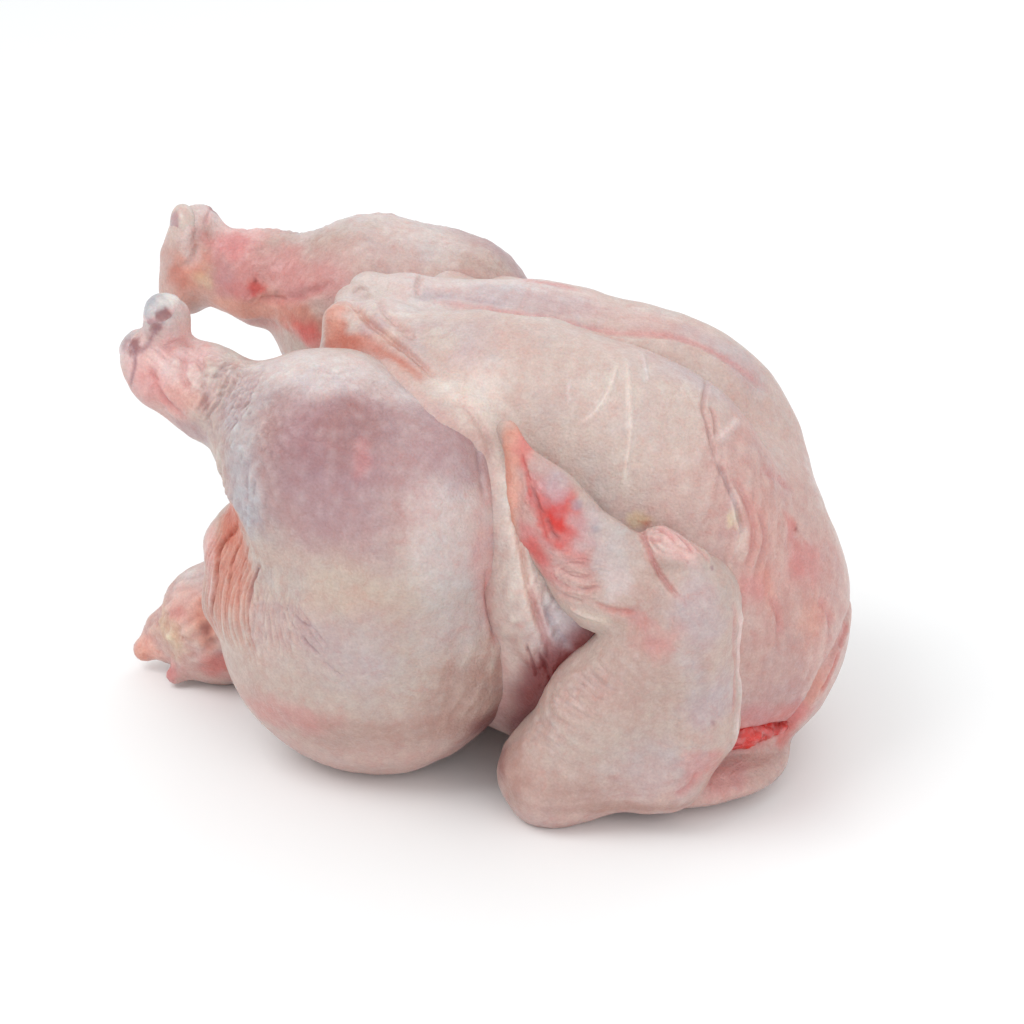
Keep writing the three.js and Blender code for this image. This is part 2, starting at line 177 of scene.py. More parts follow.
def chain(P, points, radii, k):
    """Bars end to end through points, rounded into each other over k."""
    d = None
    for i in range(len(points) - 1):
        part = limb(P, points[i], points[i + 1], radii[i], radii[i + 1])
        d = part if d is None else join(d, part, k)
    return d


def plate(P, a, b, c, thick):
    """Triangle a b c with round edges: distance to the triangle less its half thickness."""
    a, b, c = vec(*a), vec(*b), vec(*c)
    n = np.cross(b - a, c - a)
    n /= np.sqrt(n @ n)
    inside = np.ones(P.shape[:-1], bool)
    near = None
    for s, e in ((a, b - a), (b, c - b), (c, a - c)):
        q = P - s
        inside &= q @ np.cross(n, e) >= 0
        t = np.clip((q @ e) / (e @ e), 0.0, 1.0)
        off = q - t[..., None] * e
        d2 = (off * off).sum(-1)
        near = d2 if near is None else np.minimum(near, d2)
    return np.where(inside, np.abs((P - a) @ n), np.sqrt(near)) - thick


# %% [markdown]
# ## The bird as a few forms
# The trunk is an egg with a keel, two breast lobes and a crop, with the body cavity cut out and
# its soft rim laid round the mouth.  Each leg is a thigh, a drumstick that tapers to the shank,
# and a loose flap of skin towards the tail.  The legs and wings are meshes of their own, because
# on the real bird a deep crease parts them from the trunk all round.


# %% Forms of the trunk
def torso(P):
    """Rib cage, keel, breast lobes, crop, neck skin and rump."""
    d = egg(P, (7, 0, 69), (105, 56, 67))
    d = join(d, egg(P, (8, 0, 83), (94, 28, 58), -5), 8)
    for s in (-1, 1):
        lobe = egg(P, (4, s * 21, 91), (87, 36, 63), -3)
        lobe = join(lobe, egg(P, (44, s * 21, 86), (54, 34, 59), -14), 20)
        d = join(d, lobe, 3)
        d = join(d, limb(P, (12, s * 19, 125), (-42, s * 14, 139), 28, 18), 9)
        d = join(d, egg(P, (34, s * 34, 62), (58, 31, 54)), 14)
    d = join(d, egg(P, (73, 2, 42), (45, 50, 44)), 24)
    d = join(d, egg(P, (70, 0, 90), (35, 36, 28)), 8)
    d = join(d, egg(P, (67, -26, 9), (37, 38, 10), 0, -25), 5)
    return join(d, limb(P, (-60, 0, 50), (-110, 0, 28), 36, 20, 0.8, (0, 0, 1)), 22)


def tail(P):
    """Wedge of the tail with its tip and a smaller nub below."""
    d = limb(P, (-94, 0, 27), (-131, 0, 14), 23, 9, 0.8)
    d = join(d, egg(P, (-110, 0, 18), (21, 19, 19), 24), 8)
    d = join(d, limb(P, (-98, 0, 35), (-112, 0, 33), 13, 9, 0.8), 7)
    d = join(d, limb(P, (-130, 1, 15), (-140, -1, 8), 8, 5), 4)
    return join(d, limb(P, (-118, -9, 9), (-124, -12, 4.5), 5, 3.5), 4)


def knee_web(P, s, dx, dz):
    """Skin that runs from the knee on side s down to the wing."""
    spine = ((-30, 42, 138), (-10, 52, 128), (6, 58, 106), (18, 58, 76))
    return chain(P, [(x + dx, s * y, z + dz) for x, y, z in spine], (8, 10, 11, 12), 10)


def band(P, s, dx, dz):
    """Roll of loose skin beside the drumstick, from the cavity's rim down to the wing."""
    upper = (-8, 45, 137), (1, 49, 131), (8, 51, 125), (15, 59, 114)
    spine = upper + ((19, 64.5, 99), (22, 65, 82), (25, 61, 58))
    return chain(P, [(x + dx, s * y, z + dz) for x, y, z in spine], (5, 6, 6, 6, 6, 6, 5), 6)


def rim(P, s):
    """Half of the soft rim of the cavity on side s."""
    spine = (-57, 0, 151), (-56, 16, 150), (-58, 28, 126), (-80, 31, 92), (-95, 22, 62), (-98, 8, 50)
    return chain(P, [(x, s * y, z) for x, y, z in spine], (5, 5, 5, 6, 6, 6), 5)


def cavity(P):
    """Hollow of the body, wider inside, with a lower lobe at its mouth."""
    mouth = limb(P, (-120, 0, 106), (20, 0, 66), 25, 32)
    return join(mouth, limb(P, (-120, 0, 84), (-40, 0, 68), 18, 20), 12)


NECK_FOLD = (
    (78, -52, 27), (87, -47, 26), (93, -42, 25), (98, -36, 24), (104, -27, 22),
    (109, -26, 30), (113, -23, 39), (117, -15, 47), (119, -4, 53), (119, 10, 56),
    (116, 24, 54), (109, 37, 46), (98, 46, 34),
)
NECK_FOLD_RADII = (3.5, 3.5, 3.5, 3.5, 3.5, 2.6, 1.9, 1.8, 1.8, 1.8, 1.8, 2, 2.5)


def neck_fold(P):
    """Groove between the breast and the loose skin of the neck, open and red low on the left."""
    return chain(P, NECK_FOLD, NECK_FOLD_RADII, 1)


def trunk(P):
    """Torso, tail, knee webs and cavity rim, hollowed by the cavity and flat on the table."""
    d = join(torso(P), tail(P), 8)
    d = join(d, knee_web(P, -1, 0, 0), 12)
    d = join(d, knee_web(P, 1, -4, 5), 12)
    d = join(d, join(band(P, -1, 0, 0), band(P, 1, -4, 5), 1), 5)
    d = cut(d, cavity(P), 5)
    d = join(d, join(rim(P, -1), rim(P, 1), 4), 5)
    d = cut(d, neck_fold(P), 2.5)
    return np.maximum(d, -P[..., 2])


# %% Forms of the legs
LEFT_LEG = dict(
    hip=(-45, -38, 45), knee=(-20, -58, 104), mid=(-50, -54, 119), calf=(-50, -54, 104),
    shin=(-88, -52, 133.5), shank=15, ankle=(-105, -52, 140),
    knuckles=((-103.5, -53, 158.5), (-112, -51, 145.5)), knob=(7.5, 10, 8),
    thigh=(-36, -50, 56), fill=(-28, -54, 82), slack=(0, 0),
)
RIGHT_LEG = dict(
    hip=(-52, 38, 50), knee=(-41, 58, 123), mid=(-66, 56, 128.5), calf=(-70, 54, 117),
    shin=(-108, 54, 137.5), shank=17, ankle=(-134, 54, 141),
    knuckles=((-134, 54, 153), (-139, 54, 130)), knob=(9, 12, 9.5),
    thigh=(-44, 50, 56), fill=(-42, 55, 92), slack=(-8, 4),
)


def flap(P, s, dx, dz):
    """Loose skin between the thigh and the tail on side s."""
    spine = ((-67, 52, 98), (-80, 50, 78), (-83, 46, 56), (-77, 36, 36))
    return chain(P, [(x + dx, s * y, z + dz) for x, y, z in spine], (12, 12, 12, 12), 10)


def leg(P, hip, knee, mid, calf, shin, shank, ankle, knuckles, knob, thigh, fill, slack):
    """Thigh, drumstick, shank, the ankle's two knuckles and the loose flap, clear of the cavity."""
    upper = join(egg(P, thigh, (53, 34, 55)), limb(P, hip, knee, 36, 32), 20)
    drum = join(limb(P, knee, mid, 32, 33), limb(P, mid, shin, 32, shank), 8)
    drum = join(drum, egg(P, calf, (28, 27, 29), -35), 10)
    d = join(upper, drum, 12)
    d = join(d, egg(P, fill, (30, 30, 34), -35), 20)
    d = join(d, limb(P, shin, ankle, shank, 14, 0.9), 5)
    for knuckle in knuckles:
        d = join(d, egg(P, knuckle, knob, -35), 6)
    d = join(d, flap(P, math.copysign(1, hip[1]), *slack), 5)
    d = np.maximum(d, 1.0 - cavity(P))
    return np.maximum(d, -P[..., 2])


def left_leg(P):
    return leg(P, **LEFT_LEG)


def right_leg(P):
    return leg(P, **RIGHT_LEG)


# %% Forms of the wings
def wing(P, s, shoulder, sag, elbow, bend, wrist, hand, tip):
    """Folded wing: upper arm, forearm, the skin between them, the pointed hand and the thumb."""
    d = chain(P, (shoulder, sag, elbow), (15, 15, 16), 8)
    d = join(d, chain(P, (elbow, bend, wrist), (16, 16, 14), 8), 10)
    d = join(d, plate(P, shoulder, elbow, wrist, 14), 8)
    d = join(d, limb(P, shoulder, wrist, 13, 14), 8)
    palm, finger = hand
    blade = limb(P, palm, finger, 20, 14, 0.38, (0.3, 1, 0.1 * s))
    blade = join(blade, limb(P, finger, tip, 14, 4, 0.45, (0.3, 1, 0.1 * s)), 6)
    blade = join(blade, limb(P, wrist, palm, 12, 14, 0.5), 6)
    d = join(d, blade, 1.5)
    x, y, z = wrist
    thumb = limb(P, (x - 9, y + s * 4, z + 21), (x + 3, y + s * 3, z + 16), 6, 5)
    return np.maximum(join(d, thumb, 3), -P[..., 2])


def left_wing(P):
    hand = ((49, -69, 92), (30, -67, 110))
    arm = (76, -57, 38), (67, -60, 21), (32, -66, 16), (48, -67, 45), (76, -65, 84)
    return wing(P, -1, *arm, hand, (15.5, -63, 136))


def right_wing(P):
    hand = ((44, 63, 91), (24, 61, 112))
    arm = (76, 50, 34), (62, 62, 21), (30, 71, 16), (48, 68, 46), (74, 60, 84)
    return wing(P, 1, *arm, hand, (7, 57, 138.5))


# %% Forms of the gristle
def left_gristle(P):
    """Caps over the two knuckles of the left ankle."""
    upper = egg(P, (-104.4, -53.4, 161.6), (6.3, 8.6, 6.4), -35)
    lower = egg(P, (-114.0, -51.7, 147.6), (6.3, 8.6, 6.4), -35)
    return join(upper, lower, 1.5)


def right_gristle(P):
    """Flat oval end of the right shank."""
    return egg(P, (-136.2, 50.6, 153.0), (5.8, 8.4, 10.8), 10, 35)


# %% [markdown]
# ## From a distance to a mesh
# The distance is worked out on a grid of small cubes.  Every cube that the surface passes
# through gets one vertex, at the mean of the crossings on its edges, and every grid line that
# crosses the surface gets one four-sided face from the four cubes around it.  The vertices are
# then slid along the slope of the distance until they lie exactly on the form.

# %% Mesher
BLOCK = 6


def grid3(xs, ys, zs):
    """Points of a grid: every x with every y and z, as an array of shape (x, y, z, 3)."""
    return np.stack(np.meshgrid(xs, ys, zs, indexing="ij"), -1)


def sample(field, lo, n, step):
    """The field at the grid's corners, exact only in blocks that the surface may cross."""
    m = -(-n // BLOCK)
    centres = [lo[i] + step * (BLOCK * np.arange(m[i]) + (BLOCK - 1) / 2) for i in range(3)]
    rough = field(grid3(*centres).astype(F))
    values = rough.repeat(BLOCK, 0).repeat(BLOCK, 1).repeat(BLOCK, 2)
    near = np.argwhere(np.abs(rough) < 1.5 * BLOCK * step)
    corner = grid3(*[np.arange(BLOCK)] * 3).reshape(-1, 3)
    for first in range(0, len(near), 800):
        ijk = (near[first : first + 800, None] * BLOCK + corner).reshape(-1, 3)
        values[tuple(ijk.T)] = field((lo + step * ijk).astype(F))
    return values[: n[0], : n[1], : n[2]]


def net(field, lo, hi, step):
    """Vertices and four-sided faces of field = 0, by the mean of the edge crossings in each cube."""
    lo = np.asarray(lo, float)
    n = np.ceil((np.asarray(hi) - lo) / step).astype(int) + 1
    values = sample(field, lo, n, step)
    inside = values < 0
    count = np.zeros(n - 1, np.int8)
    for a in np.ndindex(2, 2, 2):
        count += inside[tuple(slice(c, c + m - 1) for c, m in zip(a, n))]
    cells = np.argwhere((count > 0) & (count < 8))
    number = np.full(n - 1, -1)
    number[tuple(cells.T)] = np.arange(len(cells))
    total = np.zeros((len(cells), 3))
    crossings = np.zeros(len(cells))
    for axis in range(3):
        step_on = np.eye(3, dtype=int)[axis]
        for a in np.ndindex(2, 2, 2):
            if a[axis]:
                continue
            va = values[tuple((cells + a).T)]
            vb = values[tuple((cells + a + step_on).T)]
            crossed = (va < 0) != (vb < 0)
            t = np.where(crossed, va / np.where(crossed, va - vb, 1.0), 0.0)
            total += crossed[:, None] * (np.array(a) + t[:, None] * step_on)
            crossings += crossed
    vertices = lo + step * (cells + total / crossings[:, None])
    faces = []
    for axis in range(3):
        u, v = np.eye(3, dtype=int)[(axis + 1) % 3], np.eye(3, dtype=int)[(axis + 2) % 3]
        ahead = np.take(inside, np.arange(1, n[axis]), axis)
        here = np.take(inside, np.arange(n[axis] - 1), axis)
        nodes = np.argwhere(here != ahead)
        ring = [number[tuple((nodes - s * u - t * v).T)] for s, t in ((0, 0), (1, 0), (1, 1), (0, 1))]
        quads = np.stack(ring, -1)
        out = here[tuple(nodes.T)]
        faces.append(np.where(out[:, None], quads, quads[:, ::-1]))
    return vertices.astype(F), np.concatenate(faces)


def slope(field, P, e=0.25):
    """Gradient of field at points P by central differences."""
    g = np.empty_like(P)
    for axis in range(3):
        o = np.zeros(3, F)
        o[axis] = e
        g[:, axis] = (field(P + o) - field(P - o)) / (2 * e)
    return g


def settle(field, P, rounds=3, reach=0.6):
    """Slides P along the slope onto field = 0: p - d g / |g|^2, at most reach a round."""
    for _ in range(rounds):
        g = slope(field, P)
        move = (field(P) / np.maximum((g * g).sum(-1), 0.25))[:, None] * g
        size = np.sqrt((move * move).sum(-1, keepdims=True))
        P = P - move * np.minimum(1.0, reach / np.maximum(size, 1e-6))
    g = slope(field, P)
    return P, g / np.maximum(np.sqrt((g * g).sum(-1, keepdims=True)), 1e-6)


# %% Finer triangles
def triangles(P, quads):
    """Each four-sided face as two triangles, parted along its shorter diagonal."""
    a, b, c, d = (P[quads[:, i]] for i in range(4))
    short = (((a - c) ** 2).sum(-1) <= ((b - d) ** 2).sum(-1))[:, None]
    first = np.where(short, quads[:, [0, 1, 2]], quads[:, [0, 1, 3]])
    second = np.where(short, quads[:, [0, 2, 3]], quads[:, [1, 2, 3]])
    return np.concatenate([first, second])


def refine(field, P, faces, wanted):
    """Splits the wanted triangles in four at the middles of their edges, and neighbours to match."""
    ends = np.sort(faces[:, [[0, 1], [1, 2], [2, 0]]], -1)
    key, edge = np.unique(ends[..., 0] * len(P) + ends[..., 1], return_inverse=True)
    edge = edge.reshape(-1, 3)
    split = np.zeros(len(key), bool)
    split[edge[wanted]] = True
    two = split[edge].sum(1) == 2
    while two.any():
        split[edge[two]] = True
        two = split[edge].sum(1) == 2
    middles = 0.5 * (P[key[split] // len(P)] + P[key[split] % len(P)])
    number = np.full(len(key), -1)
    number[split] = len(P) + np.arange(len(middles))
    middle = number[edge]
    count = split[edge].sum(1)
    f, m = faces[count == 3].T, middle[count == 3].T
    quarters = [(f[0], m[0], m[2]), (m[0], f[1], m[1]), (m[2], m[1], f[2]), (m[0], m[1], m[2])]
    halved = np.flatnonzero(count == 1)
    turned = (middle[halved].argmax(1)[:, None] + np.arange(3)) % 3
    f, m = np.take_along_axis(faces[halved], turned, 1).T, middle[halved].max(1)
    halves = [(f[0], m, f[2]), (m, f[1], f[2])]
    parts = [np.stack(t, -1) for t in quarters + halves]
    middles = settle(field, middles.astype(F), 2)[0]
    return np.concatenate([P, middles]), np.concatenate([faces[count == 0]] + parts)


# %% [markdown]
# ## Noise
# No patch of skin is even.  Gradient noise gives each corner of a coarse grid of cubes a random
# slope and eases between them; sums of it at several sizes make lumps, mottling and ragged
# edges.  The random numbers are seeded, so the bird is the same each time.

# %% Noise
rng = np.random.default_rng(11)
MIX = rng.permutation(256)
SLOPES = rng.normal(size=(256, 3))
SLOPES = (SLOPES / np.linalg.norm(SLOPES, axis=1, keepdims=True)).astype(F)


def ease(low, high, x):
    """0 below low, 1 above high, and 3t^2 - 2t^3 between."""
    t = np.clip((x - low) / (high - low), 0.0, 1.0)
    return t * t * (3.0 - 2.0 * t)


def noise(P, size, seed=0):
    """Gradient noise of about -1 to 1 whose features are as wide as size."""
    q = np.asarray(P, F) / F(size) + F(31.7 * seed)
    i = np.floor(q).astype(int)
    f = (q - i).astype(F)
    u = f * f * f * (f * (f * 6 - 15) + 10)
    total = 0.0
    for a in np.ndindex(2, 2, 2):
        c = (i + a) & 255
        g = SLOPES[MIX[(MIX[(MIX[c[..., 0]] + c[..., 1]) & 255] + c[..., 2]) & 255]]
        w = np.prod(np.where(a, u, 1 - u), -1)
        total = total + w * ((f - np.array(a, F)) * g).sum(-1)
    return 1.6 * total


def cloud(P, size, seed=0, octaves=3):
    """Noise at size, half of it at half the size, and so on."""
    return sum(noise(P, size / 2**k, seed + 7 * k) / 2**k for k in range(octaves))


# %% [markdown]
# ## Routes on the skin
# Folds, tendons and blood spots are placed as one would draw them on the bird: a few dots in the
# camera's picture of 1024 by 1024 dots.  A ray carries each dot onto the form, so a fold always
# lies on the skin, whatever the form.  A route on a side that the camera doesn't see is given
# in millimetres, or is the mirror image of one that it does.

# %% Routes
FOCAL = LENS / SENSOR * PICTURE  # in dots
AHEAD = 190.0  # rays start this far before the camera's target, clear of the bird
STEPS = 90
STRIDE = 0.85  # share of the distance that a step covers
TOUCH = 0.05  # a ray this near has met the form


def cast(field, dots):
    """Walks rays through picture dots until they meet the form, or to where they pass nearest."""
    away = (np.asarray(dots, float) - PICTURE / 2) / FOCAL
    ray = -BACK + away[:, :1] * RIGHT - away[:, 1:] * UP
    ray = (ray / np.linalg.norm(ray, axis=1, keepdims=True)).astype(F)
    walked = np.full(len(ray), DISTANCE - AHEAD, F)
    least = np.full(len(ray), 1e9, F)
    best = walked.copy()
    for _ in range(STEPS):
        d = field(EYE.astype(F) + ray * walked[:, None])
        better = d < least
        least[better] = d[better]
        best[better] = walked[better]
        walked = walked + np.where(d > TOUCH, np.maximum(STRIDE * d, 0.1), 0.0).astype(F)
    return settle(field, EYE.astype(F) + ray * best[:, None], 3, 3.0)[0]


def drop(field, points):
    """Points in millimetres, slid from near the form onto it."""
    return settle(field, np.array(points, F), 6, 4.0)[0]


def place(field, routes):
    """Routes as points on the form: pairs are picture dots to cast, triples are millimetres to drop."""
    found = [None] * len(routes)
    for length, put in ((2, cast), (3, drop)):
        group = [i for i, r in enumerate(routes) if len(r[0]) == length]
        if group:
            hits = put(field, np.concatenate([np.asarray(routes[i], float) for i in group]))
            ends = np.cumsum([len(routes[i]) for i in group])[:-1]
            for i, points in zip(group, np.split(hits, ends)):
                found[i] = points
    return found


def smooth(points, count=40):
    """Catmull-Rom curve: a cubic through the points whose slope at each follows its neighbours."""
    p = np.asarray(points, float)
    p = np.vstack([2 * p[0] - p[1], p, 2 * p[-1] - p[-2]])
    t = np.linspace(0, len(p) - 3, count)
    i = np.minimum(t.astype(int), len(p) - 4)
    f = (t - i)[:, None]
    a, b, c, d = p[i], p[i + 1], p[i + 2], p[i + 3]
    curve = 2 * b + (c - a) * f + (2 * a - 5 * b + 4 * c - d) * f**2 + (3 * b - a - 3 * c + d) * f**3
    return (0.5 * curve).astype(F)


def curves(field, routes):
    """Smooth curves through routes, slid back onto the form between their dots too."""
    if not routes:
        return []
    drawn = np.array([smooth(r) for r in routes])
    flat = settle(field, drawn.reshape(-1, 3), 3, 2.0)[0]
    return list(flat.reshape(drawn.shape))


def beside(P, N, path, reach):
    """Signed distance to a path (left of its way is positive) and how far along it, from 0 to 1."""
    side = np.full(len(P), 1e3, F)
    along = np.zeros(len(P), F)
    near = np.flatnonzero(((P > path.min(0) - reach) & (P < path.max(0) + reach)).all(1))
    a, e = path[:-1], path[1:] - path[:-1]
    for part in np.array_split(near, max(1, len(near) // 20000)):
        q = P[part, None] - a
        s = np.clip((q * e).sum(-1) / np.maximum((e * e).sum(-1), 1e-9), 0.0, 1.0)
        off = q - s[..., None] * e
        d2 = (off * off).sum(-1)
        k = d2.argmin(1)
        row = np.arange(len(part))
        left = (np.cross(N[part], e[k]) * off[row, k]).sum(-1)
        side[part] = np.sqrt(d2[row, k]) * np.where(left < 0, -1, 1)
        along[part] = (k + s[row, k]) / len(e)
    return side, along


# %% [markdown]
# ## Relief and colour
# A crease is a soft trench with a slightly raised lip on each side, a tendon under the skin is
# the same thing turned over, and loose skin gathers in a fan of them.  Blood, fat and bruises
# are dabs with ragged edges, or streaks along a route, and so are a few painted shadows and
# painted highlights.  Each is worked out for all vertices at once: a height that moves them
# along their normals, and a colour kept in the mesh.

# %% Colours
def paint(code):
    """Linear red, green and blue of a web colour."""
    raw = np.array([int(code[i : i + 2], 16) for i in (1, 3, 5)]) / 255.0
    return np.where(raw <= 0.04045, raw / 12.92, ((raw + 0.055) / 1.055) ** 2.4).astype(F)


CREAM, PALE, BLUSH = paint("#c6b3ab"), paint("#d5cbc9"), paint("#c29a94")
SAND, ASH, LILAC = paint("#b9a69d"), paint("#b9b4b5"), paint("#b4a5ab")
MAUVE, PLUM, WINE = paint("#a9898c"), paint("#966c73"), paint("#7a3a3c")
SALMON, RUST, ROSE = paint("#cf8f7c"), paint("#bb6650"), paint("#c87b7a")
RED, BLOOD, BUTTER = paint("#c5453e"), paint("#74211e"), paint("#d3bf98")
# the umber in the next row is a brownish pink used mostly for painted shade, low on the bird and in its
# crevices
MILK, SLATE, UMBER = paint("#ddd5cc"), paint("#868a9a"), paint("#a07b70")
PINK, PEACH, SCARLET = paint("#dcb5b2"), paint("#dfa898"), paint("#c8281e")


# %% Relief
LIP_RISE = 0.22  # height of a crease's lips, as a share of its depth
LIP_AWAY = 2.1  # from the crease to its lips, in widths
DRAWN_OUT = 0.84  # how much of a wrinkle's run is flattened, so it is long and narrow
VALLEY = 0.3  # level of the noise that leaves the skin where it is


def fading(along, share):
    """1 along a route, easing to 0 over a share of it at each end."""
    return ease(0.0, share, along) * ease(0.0, share, 1 - along)


def bell(away, width):
    """exp(-(away / width)^2)."""
    return np.exp(-((away / width) ** 2))


def from_spot(P, spot, size):
    """How far P is from a spot, in the half sizes of the zone round it."""
    return np.sqrt((((P - spot) / vec(*size)) ** 2).sum(-1))


def creases(P, N, rows, paths):
    """Summed heights of (route, width, depth, colour, strength) rows, and how deep each stains."""
    height = np.zeros(len(P), F)
    stains = []
    for (_, width, depth, colour, strength), path in zip(rows, paths):
        side, along = beside(P, N, path, 5 * width)
        fade = fading(along, 0.22)
        trench = fade * bell(side, width)
        lip = fade * bell(np.abs(side) - LIP_AWAY * width, width)
        height += depth * (LIP_RISE * lip - trench)
        stains.append((colour, strength * fade * bell(side, 1.4 * width)))
    return height, stains


def ledges(P, N, rows, paths):
    """Heights of (route, height, reach, width) rows: the left is raised, falling off over reach."""
    total = np.zeros(len(P), F)
    for (_, height, reach, width), path in zip(rows, paths):
        side, along = beside(P, N, path, 3 * reach)
        rise = height * fading(along, 0.2) * ease(-width, width, side)
        total += rise * bell(np.maximum(side, 0), reach)
    return total


def wrinkles(P, rows, places):
    """Summed |noise| drawn out along a way, with round hills and sharp valleys, in soft zones."""
    total = np.zeros(len(P), F)
    for i, ((_, size, way, pitch, height), spot) in enumerate(zip(rows, places)):
        far = from_spot(P, spot[0], size)
        here = np.flatnonzero(far < 1.6)
        Q = P[here]
        weight = ease(1.3, 0.4, far[here] + 0.25 * noise(Q, 10.0, 50 + i))
        way = vec(*way) / F(np.linalg.norm(way))
        bent = Q + 0.7 * pitch * noise(Q, 5.0 * pitch, 60 + i)[:, None]
        drawn = bent - F(DRAWN_OUT) * (bent @ way)[:, None] * way
        total[here] += height * weight * (np.abs(noise(drawn, pitch, 70 + i)) - VALLEY)
    return total


def fan(field, first, last, count, seed):
    """Routes between two others: (1 - w) a + w b for uneven w, slid back onto the form."""
    draw = np.random.default_rng(seed)
    w = (np.arange(count) + 0.5 + draw.uniform(-0.3, 0.3, count)) / count
    a, b = smooth(first), smooth(last)
    between = a + w[:, None, None] * (b - a)
    flat = settle(field, between.reshape(-1, 3).astype(F), 3, 3.0)[0]
    return list(flat.reshape(count, len(a), 3))


def nearest(P, points):
    """Distance from each vertex to the nearest of the points."""
    best = np.full(len(P), 1e6, F)
    squares = (points * points).sum(-1)
    for first in range(0, len(P), 8000):
        part = P[first : first + 8000]
        d2 = (part * part).sum(-1)[:, None] + squares - 2.0 * part @ points.T
        best[first : first + 8000] = d2.min(1)
    return np.sqrt(np.maximum(best, 0.0))


def follicles(P, weight, pitch, seed):
    """Vertices about pitch apart where weight is above 0: one a cube, then close pairs thinned."""
    draw = np.random.default_rng(seed)
    here = np.flatnonzero(weight > 0.02)
    order = here[draw.permutation(len(here))]
    cube = np.floor(P[order] / pitch).astype(int)
    key = (cube[:, 0] * 4001 + cube[:, 1]) * 4001 + cube[:, 2]
    chosen = order[np.unique(key, return_index=True)[1]]
    Q = P[chosen]
    gap = ((Q[:, None] - Q) ** 2).sum(-1)
    rank = draw.random(len(Q))
    crowded = ((gap < (0.75 * pitch) ** 2) & (rank[None] > rank[:, None])).any(1)
    return Q[~crowded]


# %% Colour
def tinted(tint, colour, strength):
    """The tint mixed with one colour by a strength for each vertex."""
    return tint + (colour - tint) * strength[:, None]


def coated(P, base, *coats):
    """One base colour under (colour, strength) coats, laid in order."""
    tint = np.tile(base, (len(P), 1))
    for colour, strength in coats:
        tint = tinted(tint, colour, strength)
    return tint


def dabs(tint, P, rows, places):
    """Lays (place, colour, size, strength) patches with ragged edges over the tint."""
    for i, ((_, colour, size, strength), spot) in enumerate(zip(rows, places)):
        far = from_spot(P, spot[0], size)
        here = np.flatnonzero(far < 1.9)
        ragged = far[here] + 0.4 * cloud(P[here], 0.8 * float(vec(*size).mean()), i, 4)
        mask = np.zeros(len(P), F)
        mask[here] = strength * ease(1.25, 0.35, ragged)
        tint = tinted(tint, colour, mask)
    return tint


# painted shade and light: a wrinkle's valleys are coloured darker and its hills lighter, following the
# relief
RIPPLE_SHADE = vec(0.14, 0.3, 0.3)  # a wrinkle's valley is darker and redder than its hills


def routes_of(field, work, seed):
    """Every route, place and pleat of a skin's lists of work, put on its form."""
    folds, steps, gathers = work.get("folds", []), work.get("ledges", []), work.get("fans", [])
    spots, streaks = work.get("dabs", []), work.get("streaks", [])
    zones = work.get("wrinkles", [])
    routes = [r[0] for r in folds + steps] + [r for g in gathers for r in g[0]]
    routes += [[r[0]] for r in spots] + [r[0] for r in streaks] + [[r[0]] for r in zones]
    found = iter(place(field, routes))
    fold_paths = curves(field, [next(found) for _ in folds])
    step_paths = curves(field, [next(found) for _ in steps])
    for pair, count, width, depth, colour, strength in gathers:
        fold_paths += fan(field, next(found), next(found), count, seed + count)
        folds = folds + [(None, width, depth, colour, strength)] * count
    spot_places = [next(found) for _ in spots]
    streak_paths = curves(field, [next(found) for _ in streaks])
    return folds, fold_paths, step_paths, spot_places, streak_paths, [next(found) for _ in zones]


def dress(field, P, N, tint, work, laid, seed):
    """Relief, colour and follicles of one skin from its lists of work."""
    folds, fold_paths, step_paths, spot_places, streak_paths, zone_places = laid
    height, stains = creases(P, N, folds, fold_paths)
    height += ledges(P, N, work.get("ledges", []), step_paths)
    ripple = wrinkles(P, work.get("wrinkles", []), zone_places)
    height += ripple
    for size, amount in work.get("lumps", []):
        height += amount * cloud(P, size, seed, 2)
    tint = tint * (1.0 + 0.06 * cloud(P, 22.0, seed + 3)[:, None] * np.array([0.4, 1.0, 1.0], F))
    # the wrinkles' valleys get painted shade and their hills painted light
    tint = dabs(tint, P, work.get("dabs", []), spot_places) * (1.0 + ripple[:, None] * RIPPLE_SHADE)
    for (_, colour, width, strength), path in zip(work.get("streaks", []), streak_paths):
        side, along = beside(P, N, path, 3 * width)
        torn = 1.0 + 0.5 * noise(P, 2.5 * width, seed + 5)
        tint = tinted(tint, colour, strength * fading(along, 0.2) * bell(side, width * torn))
    for colour, strength in stains:
        tint = tinted(tint, colour, strength)

    dots = np.zeros(len(P), F)
    for zones, pitch, radius, rise, longer in work.get("pores", []):
        weight = np.zeros(len(P), F)
        centres = place(field, [[z[0]] for z in zones])
        for (_, size, strength), spot in zip(zones, centres):
            far = from_spot(P, spot[0], size) + 0.15 * noise(P, 14.0, seed)
            weight = np.maximum(weight, strength * ease(1.2, 0.6, far))
        stretch = vec(*longer)
        centres = follicles(P, weight, pitch, seed)
        d = nearest(P * stretch, centres * stretch)
        uneven = np.clip(0.65 + 0.6 * noise(P, 1.6 * pitch, seed + 2), 0.1, 1.0)
        mound = weight * uneven * bell(d, radius)
        height += rise * mound
        dots = np.maximum(dots, mound)
        print("  follicles:", len(centres))
    return P + N * height[:, None], dict(tint=np.clip(tint, 0.0, 1.0), dots=dots)


